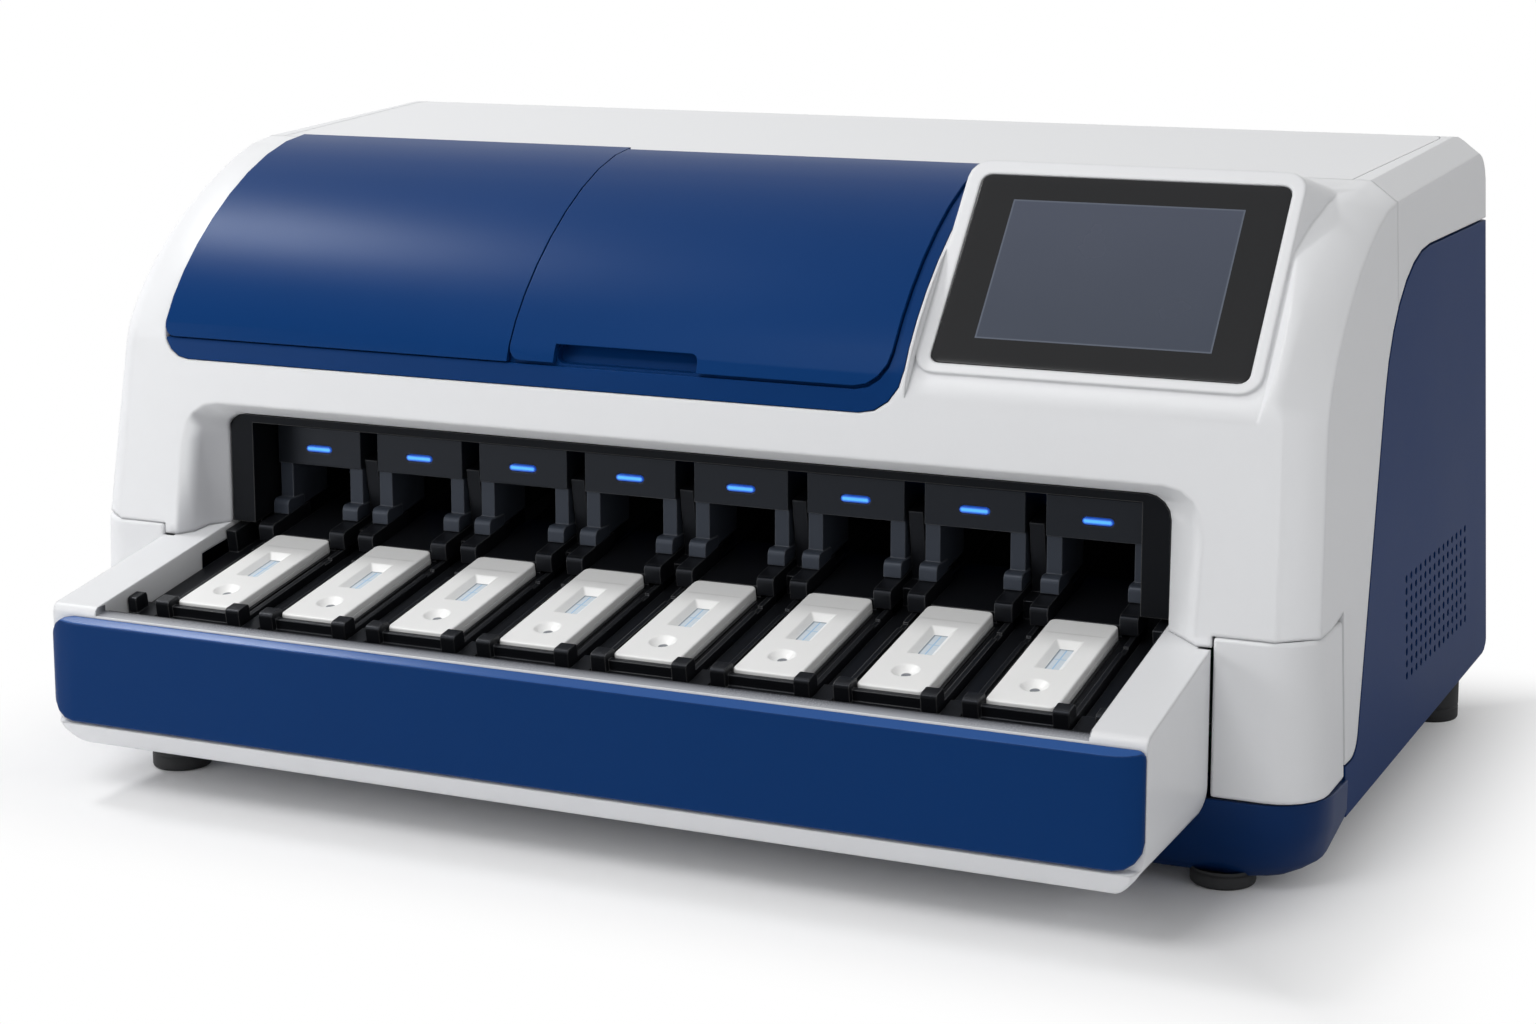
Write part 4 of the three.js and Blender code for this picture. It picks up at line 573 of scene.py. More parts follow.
@dataclass(frozen=True)
class LitPlastic(Finish):
    """Blue light guide: clear plastic that is lit from inside, brightest along its middle."""

    name: str = "lit_guide"
    slot: str = "blue_light"
    colour: Colour = tone("0a3396")
    core: Colour = tone("4ba6f8")
    strength: float = 1.0
    pitch: float = 0.047
    middle_z: float = 0.1193
    straight: float = 0.0046
    radius: float = 0.0012
    fall: Pair = (0.15, 0.85)
    steady: float = 0.85
    patch: float = 0.004
    depth: float = 0.00001
    roughness: float = 0.2
    cloud_roughness: float = 0.1

    def dress(self, paint: Paint, at: Value) -> None:
        """Feeds the shader; the core follows the middle line of each finger's rounded end."""
        x, _, z = paint.axes(at)
        glow = paint.noise(at, self.patch)
        across = abs((x / self.pitch).fraction() - 0.5) * self.pitch
        past, up = (across - self.straight).upper(0.0), z - self.middle_z
        away = (past * past + up * up).root() / self.radius
        core = (1 - away.step(*self.fall)) * self.steady + glow * (1 - self.steady)
        light = paint.blend(core, self.colour, self.core)
        paint.surface(
            Base_Color=light,
            Roughness=self.roughness + glow * self.cloud_roughness,
            Emission_Color=light,
            Emission_Strength=self.strength,
            Normal=paint.relief(glow, self.depth),
        )


@dataclass(frozen=True)
class Steel(Finish):
    """Bare steel with fine lengthwise brushing."""

    name: str = "bare_steel"
    slot: str = "steel"
    colour: Colour = tone("a9adb2")
    shades: Pair = (0.85, 1.1)
    patch: float = 0.03
    brush: float = 0.0003
    brush_depth: float = 0.00001
    stretch: float = 0.05
    edge: float = 0.0003
    metal: float = 0.9
    roughness: float = 0.28
    brush_roughness: float = 0.15

    def dress(self, paint: Paint, at: Value) -> None:
        """Feeds the shader."""
        x, y, z = paint.axes(at)
        drawn = paint.node("ShaderNodeCombineXYZ", None, {0: x * self.stretch, 1: y, 2: z})
        brushed = paint.noise(drawn, self.brush, 3.0)
        cloud = paint.noise(at, self.patch, 3.0)
        paint.surface(
            Base_Color=paint.mottled((brushed + cloud) / 2, self.colour, self.shades),
            Metallic=self.metal,
            Roughness=self.roughness + brushed * self.brush_roughness,
            Normal=paint.relief(brushed, self.brush_depth, paint.eased(self.edge)),
        )


@dataclass(frozen=True)
class CircuitBoard(Finish):
    """Green solder mask with tinned pads and fine copper lines under it."""

    name: str = "solder_mask"
    slot: str = "circuit_board"
    mask: Colour = tone("17543a")
    copper: Colour = tone("2d7a55")
    tin: Colour = tone("b9bdb6")
    track_scale: float = 260.0
    track_width: float = 0.03
    track_offset: float = 0.37
    pad_scale: float = 240.0
    pad_edge: Pair = (0.16, 0.2)
    pad_depth: float = 0.00004
    pad_cover: float = 0.8
    pad_metal: float = 0.6
    grain: float = 0.0008
    roughness: float = 0.35
    fine_roughness: float = 0.2

    def dress(self, paint: Paint, at: Value) -> None:
        """Feeds the shader."""
        tracks = {
            "Vector": at, "Scale": self.track_scale, "Mortar Size": self.track_width, "Color1": self.mask,
            "Color2": self.mask, "Mortar": self.copper,
        }
        bricks = paint.node("ShaderNodeTexBrick", {"offset": self.track_offset}, tracks)
        dots = paint.node("ShaderNodeTexVoronoi", None, {"Vector": at, "Scale": self.pad_scale}, "Distance")
        pads = 1 - dots.step(*self.pad_edge)
        fine = paint.noise(at, self.grain)
        paint.surface(
            Base_Color=paint.blend(pads * self.pad_cover, bricks, self.tin),
            Roughness=self.roughness + fine * self.fine_roughness,
            Metallic=pads * self.pad_metal,
            Normal=paint.relief(pads, self.pad_depth),
        )


@dataclass(frozen=True)
class Rubber(Finish):
    """Soft dull rubber with a fine open grain."""

    name: str = "foot_rubber"
    slot: str = "rubber"
    colour: Colour = tone("1b1c1e")
    shades: Pair = (0.8, 1.25)
    patch: float = 0.012
    grain: float = 0.0004
    grain_depth: float = 0.00003
    roughness: float = 0.62
    fine_roughness: float = 0.18

    def dress(self, paint: Paint, at: Value) -> None:
        """Feeds the shader."""
        fine = paint.noise(at, self.grain, 3.0)
        paint.surface(
            Base_Color=paint.mottled(paint.noise(at, self.patch, 3.0), self.colour, self.shades),
            Roughness=self.roughness + fine * self.fine_roughness,
            Normal=paint.relief(fine, self.grain_depth),
        )


BLUE = {"sheen": tone("b6cdf8")}
SATIN = {"slot": "blue_satin", "specular": 0.09, **BLUE}
BLUE_PANEL = {"slot": "blue_panel", "wander": 0.04, **BLUE}
PALE = {"slot": "white_plastic", "colour": tone("e3e4e6"), "wander": 0.012}
DARK = {"grain_depth": 0.00002, "edge": 0.0007, "sheen": tone("dfe6f4")}
BLACK = {"slot": "black_plastic", "wander": 0.08, **DARK}
CHARCOAL = {"slot": "charcoal_plastic", "roughness": 0.36, "wander": 0.06, "specular": 0.28, **DARK}
FINISHES = {
    "white": Plastic("white_shell", **PALE, roughness=0.4, edge=0.0011),
    "white_front": FrontShell("white_front", **PALE, roughness=0.4, edge=0.002),
    "white_bench": BenchShell("white_bench", **PALE, roughness=0.38, edge=0.0016, specular=0.35),
    "hood": Plastic(
        "hood_blue", **SATIN, colour=tone("053369"), roughness=0.33, wander=0.05, grain=0.0007,
        grain_depth=0.00002, edge=0.0005,
    ),
    "hood_frame": Plastic("hood_frame_blue", **SATIN, colour=tone("053166"), roughness=0.34, wander=0.04),
    "panel": HighlitPanel(
        "front_blue", "blue_gloss", tone("063064"), 0.22, grain_depth=0.000003, edge=0.0012, specular=0.14,
        edge_highlight=0.1, **BLUE,
    ),
    "side": Plastic(
        "side_blue", **BLUE_PANEL, colour=tone("132f5e"), roughness=0.42, grain_depth=0.00002, edge=0.0008,
        specular=0.05,
    ),
    "base": Plastic(
        "base_blue", **BLUE_PANEL, colour=tone("082855"), roughness=0.3, edge=0.0012, specular=0.18,
    ),
    "black": Plastic(
        "black_moulding", **BLACK, colour=tone("101114"), roughness=0.38, specular=0.25, edge_highlight=0.12,
    ),
    "lining": Plastic(
        "black_lining", **BLACK, colour=tone("090a0c"), roughness=0.42, specular=0.13, edge_highlight=0.1,
    ),
    "charcoal": Plastic("charcoal_moulding", **CHARCOAL, colour=tone("16181d"), edge_highlight=0.17),
    "head": TopShadedHead("head_moulding", **CHARCOAL, colour=tone("353a43"), edge_highlight=0.16),
    "cassette": CassetteShell(),
    "screen": ScreenFace(),
    "light": LitPlastic(),
    "steel": Steel(),
    "board": CircuitBoard(),
    "rubber": Rubber(),
}


@cache
def material_of(finish: str) -> Material:
    """The material of a finish, made at its first use."""
    return FINISHES[finish].make()


BODY_OF = {node: body for body, nodes in frame["record"]["behaviour"]["bodies"].items() for node in nodes}


# Mesh work


MERGE_DISTANCE = 2e-6
FLAT_ANGLE = math.radians(0.4)
ROLL_SEGMENTS = 2
NORMAL_WEIGHT = 60


class Shading(Enum):
    """The bend up to which a mesh is shaded soft."""

    BY_ANGLE = math.radians(33)
    BY_WIDE_ANGLE = math.radians(41)


def added(name: str, data: ID) -> Object:
    """A new object of the scene, at the origin, that shows the data."""
    made = bpy.data.objects.new(name, data)
    bpy.context.scene.collection.objects.link(made)
    return made


def settle(piece: Object, finish: str, body: str, replaced: str) -> None:
    """Gives a finished mesh its material and its body, and hides the node that it replaces.

    Args:
        piece: The object, at the origin.
        finish: A key of the finishes.
        body: The body that it rides on.
        replaced: The node that it replaces.
    """
    piece.data.materials.clear()
    piece.data.materials.append(material_of(finish))
    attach(piece, body)
    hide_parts(replaced)
    log.info("%s: %d faces, %s, on %s", piece.name, len(piece.data.polygons), finish, body)


def soften(mesh: Mesh, shading: Shading) -> None:
    """Shades a mesh smooth, with edges sharper than the shading's angle kept hard.

    Args:
        mesh: The mesh that is changed.
        shading: The angle past which an edge stays hard.
    """
    work = bmesh.new()
    work.from_mesh(mesh)
    for face in work.faces:
        face.smooth = True
    for edge in work.edges:
        edge.smooth = edge.calc_face_angle(0.0) < shading.value
    work.to_mesh(mesh)
    work.free()


def tidied(mesh: Mesh) -> None:
    """Merges a mesh's loose triangles and joins those that lie in one plane."""
    work = bmesh.new()
    work.from_mesh(mesh)
    bmesh.ops.remove_doubles(work, verts=work.verts, dist=MERGE_DISTANCE)
    bmesh.ops.dissolve_limit(work, angle_limit=FLAT_ANGLE, verts=work.verts, edges=work.edges)
    work.to_mesh(mesh)
    work.free()


def kept_inside(mesh: Mesh, envelope: Object) -> Mesh:
    """Cuts away what stands outside an envelope.

    Args:
        mesh: The closed mesh that is cut.
        envelope: A closed object, which is used up.

    Returns:
        The new mesh.
    """
    blank = added("blank", mesh)
    common = blank.modifiers.new("common", "BOOLEAN")
    common.operation, common.solver, common.object = "INTERSECT", "EXACT", envelope
    shaped = bpy.data.meshes.new_from_object(blank.evaluated_get(bpy.context.evaluated_depsgraph_get()))
    shaped.name = mesh.name
    for used in (blank, envelope):
        bpy.data.objects.remove(used)
    return shaped


def faired(
    node: str, finish: str, edge: float = 0.0, envelope: Object | None = None,
    shading: Shading = Shading.BY_ANGLE,
) -> None:
    """Copies a node, merges its loose triangles, rolls its edges and shades its curved faces smooth.

    Args:
        node: The node that is replaced by its faired copy.
        finish: A key of the finishes.
        edge: The radius of its rolled edges, in millimetres; none are rolled at 0.
        envelope: A closed object that the piece is cut to first.
        shading: The angle past which an edge stays hard.
    """
    mesh = frame["nodes"][node].data.copy()
    tidied(mesh)
    if envelope is not None:
        mesh = kept_inside(mesh, envelope)
        tidied(mesh)
    mesh.name = f"{node}_shell"
    soften(mesh, shading)
    piece = added(f"{node}_shell", mesh)
    if edge:
        rolled = piece.modifiers.new("rolled_edges", "BEVEL")
        rolled.limit_method, rolled.angle_limit = "ANGLE", Shading.BY_ANGLE.value
        rolled.width, rolled.segments, rolled.use_clamp_overlap = edge * MM, ROLL_SEGMENTS, True
        rolled.harden_normals = False
    weighted = piece.modifiers.new("even_normals", "WEIGHTED_NORMAL")
    weighted.keep_sharp = True
    weighted.weight = NORMAL_WEIGHT
    settle(piece, finish, BODY_OF[node], node)


def fair_all(finish: str, *nodes: str, edge: float = 0.0) -> None:
    """Fairs several nodes in the same way."""
    for node in nodes:
        faired(node, finish, edge)


def dressed(node: str, finish: str) -> None:
    """Puts a finish on a node that stays as it is."""
    solid = frame["nodes"][node]
    solid.data.materials.clear()
    solid.data.materials.append(material_of(finish))
    log.info("%s keeps its solid, %s", node, finish)


def new_mesh(
    name: str, points: np.ndarray, faces: np.ndarray, uv: np.ndarray | None = None, uv_name: str = "",
) -> Object:
    """Puts points and quads into a new object at the origin.

    Args:
        name: The object's name.
        points: One row of x, y and z per point, in metres.
        faces: One row of four point numbers per face; two equal numbers make a triangle.
        uv: A place on the surface per point.
        uv_name: The map's name.

    Returns:
        The linked object, shaded by angle.
    """
    mesh = bpy.data.meshes.new(name)
    mesh.from_pydata(points.tolist(), [], [list(dict.fromkeys(face)) for face in faces.tolist()])
    if uv is not None:
        layer = mesh.uv_layers.new(name=uv_name)
        corner_points = np.empty(len(mesh.loops), np.int32)
        mesh.loops.foreach_get("vertex_index", corner_points)
        layer.data.foreach_set("uv", uv[corner_points].astype(np.float32).ravel())
    soften(mesh, Shading.BY_ANGLE)
    return added(name, mesh)


@dataclass(frozen=True)
class RolledPlate:
    """A rounded rectangle whose rim is a profile carried round it, closed by a grid above and below.

    Sizes are in millimetres. The rim is a list of insets and heights from the top's inner ring to
    the underside's inner ring; the two share the same inset, which is at least the corner's radius.
    """

    low: Pair
    high: Pair
    corner: float
    rim: Rim
    cells: tuple[int, int] = (8, 8)
    arc_steps: int = 8

    def ring(self, inset: float) -> np.ndarray:
        """The outline moved inwards: straight runs between corner arcs of radius less the inset.

        Args:
            inset: The distance.

        Returns:
            One row per point, counter-clockwise from the corner at low, low.
        """
        (a0, b0), (a1, b1) = self.low, self.high
        ends = [(1, 1, a0, b0), (-1, 1, a1, b0), (-1, -1, a1, b1), (1, -1, a0, b1)]
        radius = max(self.corner - inset, 0.0)
        arcs = []
        for i, (sa, sb, a, b) in enumerate(ends):
            turn = math.pi + i * math.pi / 2 + np.linspace(0, math.pi / 2, self.arc_steps + 1)
            centre = np.array([a + sa * (inset + radius), b + sb * (inset + radius)])
            arcs.append(centre + radius * np.stack([np.cos(turn), np.sin(turn)], 1))
        parts = []
        for i in range(4):
            count = self.cells[i % 2] - 1
            share = (np.arange(1, count + 1) / (count + 1))[:, None]
            here, there = arcs[i][-1], arcs[(i + 1) % 4][0]
            parts += [arcs[i], here + (there - here) * share]
        return np.concatenate(parts)

    def grid_numbers(self) -> np.ndarray:
        """The numbers of the grid's points: a row for each b."""
        na, nb = self.cells
        return np.arange((na + 1) * (nb + 1)).reshape(nb + 1, na + 1)

    def ring_to_grid(self) -> np.ndarray:
        """The grid point that each point of the innermost ring falls on."""
        number = self.grid_numbers()
        sides = [number[0, :], number[:, -1], number[-1, ::-1], number[::-1, 0]]
        parts = [np.concatenate([np.full(self.arc_steps + 1, side[0]), side[1:-1]]) for side in sides]
        return np.concatenate(parts)

    def layers(self) -> tuple[np.ndarray, np.ndarray, list[np.ndarray]]:
        """Stacks the top grid, the rim's rings and the underside grid.

        Returns:
            A row of a and b per point, the height of each point and the point numbers of each ring.
        """
        na, nb = self.cells
        (inset, top), *walls, (_, bottom) = self.rim
        a, b = np.meshgrid(
            np.linspace(self.low[0] + inset, self.high[0] - inset, na + 1),
            np.linspace(self.low[1] + inset, self.high[1] - inset, nb + 1),
        )
        grid = np.stack([a.ravel(), b.ravel()], 1)
        stack = [(grid, top), *((self.ring(depth), height) for depth, height in walls), (grid, bottom)]
        plan = np.concatenate([points for points, _ in stack])
        heights = np.concatenate([np.full(len(points), height) for points, height in stack])
        rim = self.ring_to_grid()
        starts = [len(grid) + i * len(rim) for i in range(len(walls) + 1)]
        rings = [rim, *(start + np.arange(len(rim)) for start in starts[:-1]), starts[-1] + rim]
        return plan, heights, rings

    def faces(self, rings: list[np.ndarray]) -> np.ndarray:
        """Joins the points into the top grid, the underside grid and the walls between rings.

        Args:
            rings: The point numbers of each ring, from the top down.

        Returns:
            A row of four point numbers per face, without those that close up to a line.
        """
        number = self.grid_numbers()
        top = np.stack([number[:-1, :-1], number[:-1, 1:], number[1:, 1:], number[1:, :-1]], -1)
        top = top.reshape(-1, 4)
        underside = top[:, ::-1] + (rings[-1][0] - rings[0][0])
        walls = [
            np.stack([upper, lower, np.roll(lower, -1), np.roll(upper, -1)], 1)
            for upper, lower in zip(rings, rings[1:])
        ]
        faces = np.concatenate([top, underside, *walls])
        return faces[[len(set(face)) > 2 for face in faces.tolist()]]

    def build(
        self, name: str, place: Place, relief: Callable[[np.ndarray, np.ndarray], np.ndarray] | None = None,
        uv_name: str = "plate",
    ) -> Object:
        """Makes the closed plate.

        Args:
            name: The object's name.
            place: Turns places a, b and height into x, y and z in millimetres.
            relief: The height that is added over the top, as a function of a and b.
            uv_name: The name of the map that keeps a and b in metres.

        Returns:
            The linked object.
        """
        plan, height, rings = self.layers()
        if relief is not None:
            top = slice(0, rings[1][0])
            height[top] += relief(plan[top, 0], plan[top, 1])
        points = place(plan[:, 0], plan[:, 1], height) + BODY_SHIFT
        return new_mesh(name, points * MM, self.faces(rings), plan * MM, uv_name)


def rolled_rim(
    inner: float, thick: float, roll: float, under: float = 0.3, steps: int = 5,
) -> Rim:
    """A rim with a quarter-round top edge and a small quarter-round lower edge.

    Args:
        inner: The inset of the first and last rings.
        thick: The plate's thickness.
        roll: The radius of the top edge.
        under: The radius of the lower edge.
        steps: Facets on the top edge.

    Returns:
        Insets and heights; inset r(1 - cos t) and height -r(1 - sin t) as t falls from 90 degrees to 0.
    """
    turns = [math.pi / 2 * (1 - i / steps) for i in range(steps + 1)]
    top = [(roll * (1 - math.cos(t)), -roll * (1 - math.sin(t))) for t in turns]
    few = (turns[-1], turns[2], turns[0])
    base = [(under * (1 - math.cos(t)), -thick + under * (1 - math.sin(t))) for t in few]
    return ((inner, 0.0), *top, *base, (inner, -thick))


# Sub-assemblies


@dataclass
class Casing:
    """White upper casing with its blue sides, corner pieces, base tub and rear panel."""

    corner_edge: float = 1.2
    base_edge: float = 0.8

    def build(self) -> None:
        """Fairs every shell of the casing."""
        fair_all("white", "top_cover", "top_lid")
        fair_all("white", "corner_left", "corner_right", edge=self.corner_edge)
        faired("rear_panel", "white")
        faired("front_frame", "white_front", shading=Shading.BY_WIDE_ANGLE)
        fair_all("side", "side_panel_left", "side_panel_right")
        faired("base_pan", "base", self.base_edge)


@dataclass
class Hood:
    """Blue hood with its fixed left cover and the hinged door over the service bay."""

    def build(self) -> None:
        """Fairs the hood's sheets and dresses what lies behind the door."""
        faired("hood_frame", "hood_frame")
        fair_all("hood", "hood_left_cover", "hood_door")
        faired("bay_liner", "black")
        faired("door_hinge_pin", "steel")


@dataclass
class Screen:
    """Cover glass on the leaning screen block."""

    lean: float = math.radians(41.5)
    foot: Pair = (-75.0, 169.0)
    low: Pair = (104.0, 4.4)
    size: Pair = (117.2, 83.6)
    corner: float = 4.0
    seat: float = 1.3
    thick: float = 1.2
    polish: Pair = (0.35, 0.15)
    cells: tuple[int, int] = (16, 12)

    def on_face(self, x: np.ndarray, v: np.ndarray, n: np.ndarray) -> np.ndarray:
        """The point v up the leaning face and n out of it: y = y0 + v sin - n cos, z = z0 + v cos + n sin."""
        n = n - self.seat + self.thick
        y = self.foot[0] + v * math.sin(self.lean) - n * math.cos(self.lean)
        z = self.foot[1] + v * math.cos(self.lean) + n * math.sin(self.lean)
        return np.stack([x, y, z], 1)

    def build(self) -> None:
        """Makes the glass with polished edges and dresses the display unit."""
        high = (self.low[0] + self.size[0], self.low[1] + self.size[1])
        rim = rolled_rim(self.corner, self.thick, *self.polish)
        plate = RolledPlate(self.low, high, self.corner, rim, self.cells)
        glass = plate.build("screen_cover_glass", self.on_face, uv_name="face")
        settle(glass, "screen", "housing", "screen_glass")
        dressed("display_panel", "screen")


@dataclass
class TrayBench:
    """White tray housing that stands out in front, with the glossy blue panel on it."""

    outer: float = 216.6
    foot: float = 14.6
    reach: float = 130.0
    front: float = -171.72
    depth: float = 120.0
    corner: float = 21.0
    roll: float = 7.0
    spare: float = 0.02
    roll_steps: int = 8
    arc_steps: int = 12
    edge: float = 0.7

    def on_front(self, x: np.ndarray, z: np.ndarray, out: np.ndarray) -> np.ndarray:
        """A point of the envelope: heights stand out to the front."""
        return np.stack([x, self.front - out, z], 1)

    def envelope(self) -> Object:
        """A block with large lower corners and rolled front edges, as wide as the housing."""
        half = self.outer + self.spare
        low, high = (-half, self.foot - self.spare), (half, self.reach)
        rim = rolled_rim(self.corner, self.depth, self.roll, steps=self.roll_steps)
        block = RolledPlate(low, high, self.corner, rim, arc_steps=self.arc_steps)
        return block.build("bench_envelope", self.on_front)

    def build(self) -> None:
        """Fairs the housing, cut to its rounded envelope, and the front panel."""
        faired("tray_housing", "white_bench", self.edge, self.envelope())
        faired("front_panel", "panel", self.edge)


@dataclass
class Lanes:
    """Cassettes on their trays, in the frame of the inclined deck."""

    count: int = 8
    pitch: float = 47.0
    incline: float = math.radians(9.76)
    origin: Pair = (-141.5, 70.7)
    half: float = 12.73
    length: float = 70.0
    thick: float = 5.0
    corner: float = 2.4
    roll: float = 0.7
    under: float = 0.35
    seam: float = 2.6
    groove_half: float = 0.14
    groove_floor: float = 0.08
    groove_depth: float = 0.16
    well_u: float = 15.0
    well_radius: float = 5.0
    well_floor: float = 1.9
    well_depth: float = 2.0
    well_curve: float = 1.4
    window_half: float = 2.6
    window_ends: Pair = (32.6, 49.4)
    funnel_half: float = 4.95
    funnel_ends: Pair = (28.8, 53.0)
    window_depth: float = 2.0
    step_u: float = 58.4
    step_length: float = 0.5
    step_height: float = 0.18
    cells: tuple[int, int] = (60, 168)
    arc_steps: int = 5
    tray_edge: float = 0.3
    head_edge: float = 0.35

    def on_lane(self, lane: int) -> Place:
        """The place on one lane: x from its middle, u back along the deck, w off it.

        Args:
            lane: The lane's number, from 1 at the left.

        Returns:
            A function of x, u and w that gives x, y and z in millimetres.
        """
        middle = (lane - (self.count + 1) / 2) * self.pitch
        cos, sin = math.cos(self.incline), math.sin(self.incline)

        def place(x: np.ndarray, u: np.ndarray, w: np.ndarray) -> np.ndarray:
            """Turns lane places into millimetres of the body."""
            y, z = self.origin
            return np.stack([middle + x, y + u * cos - w * sin, z + u * sin + w * cos], 1)

        return place

    def relief(self, x: np.ndarray, u: np.ndarray) -> np.ndarray:
        """Height of the cassette's top over its flat.

        Args:
            x: Places across.
            u: Places along.

        Returns:
            The bowl of the sample well, the sloped sides of the window and the small step at the rear.
        """
        away = np.hypot(x, u - self.well_u)
        bowl = np.clip((away - self.well_floor) / (self.well_radius - self.well_floor), 0, 1)
        bowl = -self.well_depth * (1 - bowl**self.well_curve)
        out = np.maximum.reduce([
            (np.abs(x) - self.window_half) / (self.funnel_half - self.window_half),
            (self.window_ends[0] - u) / (self.window_ends[0] - self.funnel_ends[0]),
            (u - self.window_ends[1]) / (self.funnel_ends[1] - self.window_ends[1]),
        ])
        window = -self.window_depth * (1 - np.clip(out, 0, 1))
        step = -self.step_height * np.clip((u - self.step_u) / self.step_length, 0, 1)
        return np.minimum(bowl, window) + np.where(out > 1, step, 0)

    def cassette(self, lane: int) -> None:
        """Makes one cassette with its shell seam half way down its rim.

        Args:
            lane: The lane's number, from 1 at the left.
        """
        seam, half, floor, depth = self.seam, self.groove_half, self.groove_floor, self.groove_depth
        rim = rolled_rim(self.corner, self.thick, self.roll, self.under)
        wall = [pair for pair in rim if pair[1] > -seam]
        foot = [pair for pair in rim if pair[1] <= -seam]
        groove = ((0.0, -seam + half), (depth, -seam + floor), (depth, -seam - floor), (0.0, -seam - half))
        rim = (*wall, *groove, *foot)
        low, high = (-self.half, 0.0), (self.half, self.length)
        plate = RolledPlate(low, high, self.corner, rim, self.cells, self.arc_steps)
        piece = plate.build(f"cassette_{lane}_shell", self.on_lane(lane), self.relief, "lane")
        settle(piece, "cassette", f"slide_{lane}", f"cassette_{lane}")

    def build(self) -> None:
        """Makes the cassettes and fairs the trays, the deck, the heads and the lights."""
        for lane in range(1, self.count + 1):
            self.cassette(lane)
            faired(f"tray_{lane}", "black", self.tray_edge)
            faired(f"head_{lane}", "head", self.head_edge)
        faired("tray_deck", "black", self.tray_edge)
        faired("cavity_liner", "lining")
        faired("optics_bench", "charcoal")
        faired("light_guide", "light")


@dataclass
class RearServices:
    """Power inlet, switch, data ports and fan of the rear panel."""

    def build(self) -> None:
        """Fairs every unit of the rear."""
        fair_all("black", "power_inlet", "switch_frame", "fan_frame", "data_ports")
        fair_all("charcoal", "power_rocker", "fan_rotor")


@dataclass
class InnerUnits:
    """Power supply and main board on the floor of the base."""

    def build(self) -> None:
        """Dresses the inner units, which keep their solids."""
        dressed("power_supply", "steel")
        dressed("main_board", "board")


@dataclass
class Feet:
    """Rubber feet, each a profile turned round its own axis."""

    radius: float = 11.6
    sides: int = 56
    nodes: tuple[str, ...] = ("foot_front_left", "foot_front_right", "foot_rear_left", "foot_rear_right")
    profile: Rim = (
        (3.2, 0.0), (3.0, 0.5), (2.6, 0.5), (2.4, 0.0), (1.1, 0.0), (0.5, 0.25), (0.15, 0.7), (0.0, 1.3),
        (0.0, 5.2), (0.35, 5.5), (0.35, 6.0), (0.0, 6.3),
    )

    def foot(self, node: str) -> None:
        """Turns one foot: x = r cos t and y = r sin t at each height of the profile.

        The profile holds insets from the radius and heights over the floor; a plain wall follows.

        Args:
            node: The foot's node, whose box gives its middle and its height.
        """
        low, high = (np.array(corner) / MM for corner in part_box(node))
        middle, tall = (low + high) / 2, high[2] - low[2]
        insets, heights = np.array([*self.profile, (0.0, tall)]).T
        turn = np.arange(self.sides) * 2 * math.pi / self.sides
        reach = (self.radius - insets)[:, None]
        x = middle[0] + reach * np.cos(turn)
        y = middle[1] + reach * np.sin(turn)
        z = low[2] + np.repeat(heights[:, None], self.sides, 1)
        points = np.concatenate([
            np.stack([x, y, z], -1).reshape(-1, 3),
            [[middle[0], middle[1], low[2]], [middle[0], middle[1], low[2] + tall]],
        ])
        number = np.arange(x.size).reshape(x.shape)
        after = np.roll(number, -1, 1)
        walls = np.stack([number[:-1], after[:-1], after[1:], number[1:]], -1).reshape(-1, 4)
        poles = [np.full(self.sides, len(points) - 2), np.full(self.sides, len(points) - 1)]
        under = np.stack([poles[0], after[0], number[0], poles[0]], 1)
        above = np.stack([poles[1], number[-1], after[-1], poles[1]], 1)
        piece = new_mesh(f"{node}_turned", points * MM, np.concatenate([walls, under, above]))
        settle(piece, "rubber", "housing", node)

    def build(self) -> None:
        """Turns every foot."""
        for node in self.nodes:
            self.foot(node)


# Studio


@dataclass
class Lamp:
    """A rectangular soft light that looks at a point."""

    name: str
    place: tuple[float, float, float]
    aim: tuple[float, float, float]
    size: Pair
    power: float

    def build(self) -> None:
        """Adds the light."""
        data = bpy.data.lights.new(self.name, "AREA")
        data.shape = "RECTANGLE"
        data.size, data.size_y = self.size
        data.energy = self.power
        lamp = added(self.name, data)
        lamp.location = self.place
        way = Vector(self.aim) - Vector(self.place)
        lamp.rotation_euler = way.to_track_quat("-Z", "Y").to_euler()


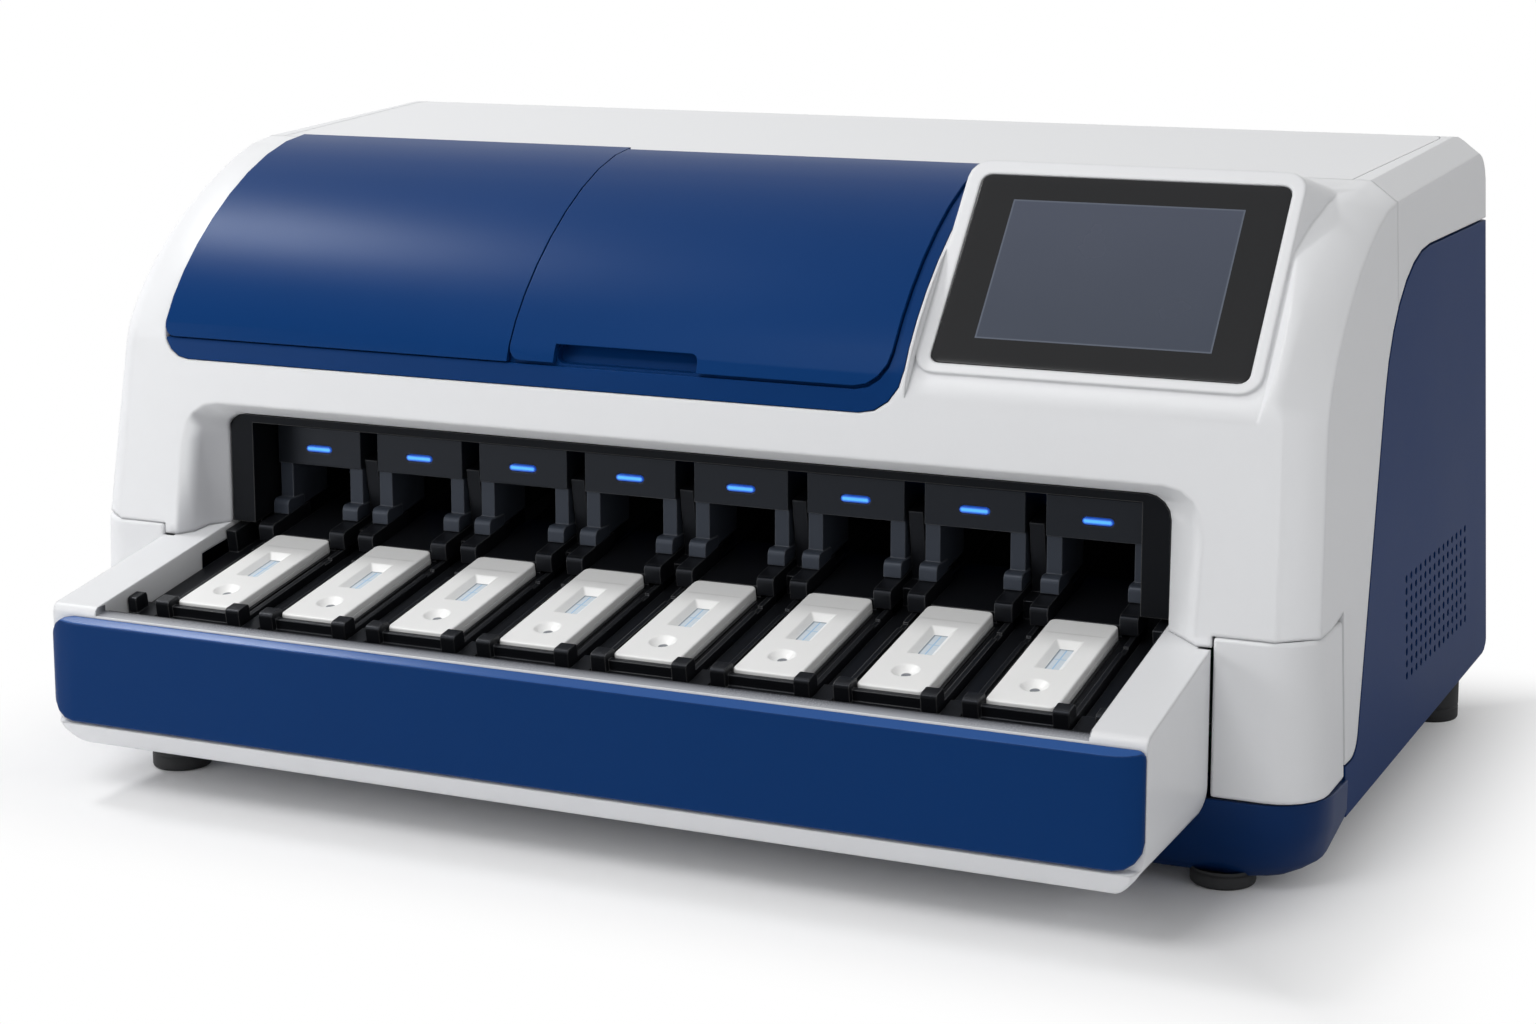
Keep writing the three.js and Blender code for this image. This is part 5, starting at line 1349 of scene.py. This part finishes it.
@dataclass
class Studio:
    """Pale floor, soft lights, a white surround and the camera."""

    eye: tuple[float, float, float] = (0.4734, -1.0265, 0.3452)
    look: tuple[float, float, float] = (-0.4083, 0.898, -0.1638)
    roll: float = -0.0016
    lens: float = 67.42
    shift: float = -0.099
    world_strength: float = 0.33
    footprint: Pair = (0.262, 0.172)
    fade: Pair = (-0.045, 0.07)
    floor_half: float = 6.0
    floor_tones: tuple[Colour, Colour] = (tone("f1f1f2"), tone("f4f4f5"))
    lamps: tuple[Lamp, ...] = (
        Lamp("key", (-1.08, 0.02, 1.45), (-0.1, 0.0, 0.15), (0.28, 0.26), 9.5),
        Lamp("front", (-0.35, -1.3, 1.7), (0.0, 0.0, 0.1), (0.9, 0.7), 13.5),
        Lamp("low_front", (-1.35, -1.5, 0.5), (-0.1, -0.1, 0.06), (0.9, 0.6), 7.5),
        Lamp("right", (1.9, -0.3, 0.9), (0.1, 0.0, 0.1), (1.0, 1.0), 3.5),
    )

    def camera(self) -> None:
        """Sets the camera at the photograph's viewing angle."""
        data = bpy.data.cameras.new("camera")
        data.sensor_width = 36.0
        data.lens = self.lens
        data.shift_y = self.shift
        data.clip_start = 0.01
        camera = added("camera", data)
        turn = Vector(self.look).to_track_quat("-Z", "Y").to_matrix().to_4x4()
        camera.matrix_world = Matrix.Translation(self.eye) @ turn @ Matrix.Rotation(self.roll, 4, "Z")
        bpy.context.scene.camera = camera

    def surround(self) -> None:
        """Lights the scene evenly and shows white to the camera and in gloss."""
        world = bpy.data.worlds.new("surround")
        bpy.context.scene.world = world
        world.use_nodes = True
        graph = Graph(world.node_tree)
        shows_white = graph.ray("Camera").upper(graph.ray("Glossy").upper(graph.ray("Transmission")))
        plain = graph.node("ShaderNodeBackground", None, {"Color": WHITE, "Strength": self.world_strength})
        white = graph.node("ShaderNodeBackground", None, {"Color": WHITE, "Strength": 1.0})
        mix = graph.node("ShaderNodeMixShader", None, {0: shows_white, 1: plain, 2: white})
        graph.feed(graph.tree.nodes.new("ShaderNodeOutputWorld").inputs[0], mix)

    def floor(self) -> None:
        """Lays a wide pale floor that turns to plain white away from the reader."""
        paint = Paint("pale_floor")
        x, y, _ = paint.axes(paint.places())
        near, _ = self.fade
        past_x = (abs(x) - self.footprint[0]).upper(near)
        past_y = (abs(y) - self.footprint[1]).upper(near)
        fade = past_x.upper(past_y).step(*self.fade) * paint.ray("Camera")
        bright = paint.noise(paint.places(), 0.2, 1.0)
        paint.surface(Base_Color=paint.blend(bright, *self.floor_tones), Roughness=0.6 + bright * 0.05)
        white = paint.node("ShaderNodeEmission", None, {"Color": WHITE, "Strength": 1.0})
        pale = Value(paint, paint.shader.outputs[0])
        mix = paint.node("ShaderNodeMixShader", None, {0: fade, 1: pale, 2: white})
        paint.feed(paint.output.inputs[0], mix)
        mesh = bpy.data.meshes.new("floor")
        side = self.floor_half
        corners = [(-side, -side, 0), (side, -side, 0), (side, side, 0), (-side, side, 0)]
        mesh.from_pydata(corners, [], [(0, 1, 2, 3)])
        mesh.materials.append(paint.material)
        added("floor", mesh)

    def build(self) -> None:
        """Sets up the whole studio."""
        bpy.context.scene.view_settings.view_transform = "Standard"
        self.camera()
        self.surround()
        self.floor()
        for lamp in self.lamps:
            lamp.build()


def main() -> None:
    """Builds the reader, sub-assembly by sub-assembly."""
    logging.basicConfig(level=logging.INFO, format="%(message)s")
    for part in (Studio, Casing, Hood, Screen, TrayBench, Lanes, RearServices, InnerUnits, Feet):
        log.info("%s", part.__name__)
        part().build()


if __name__ == "__main__":
    main()
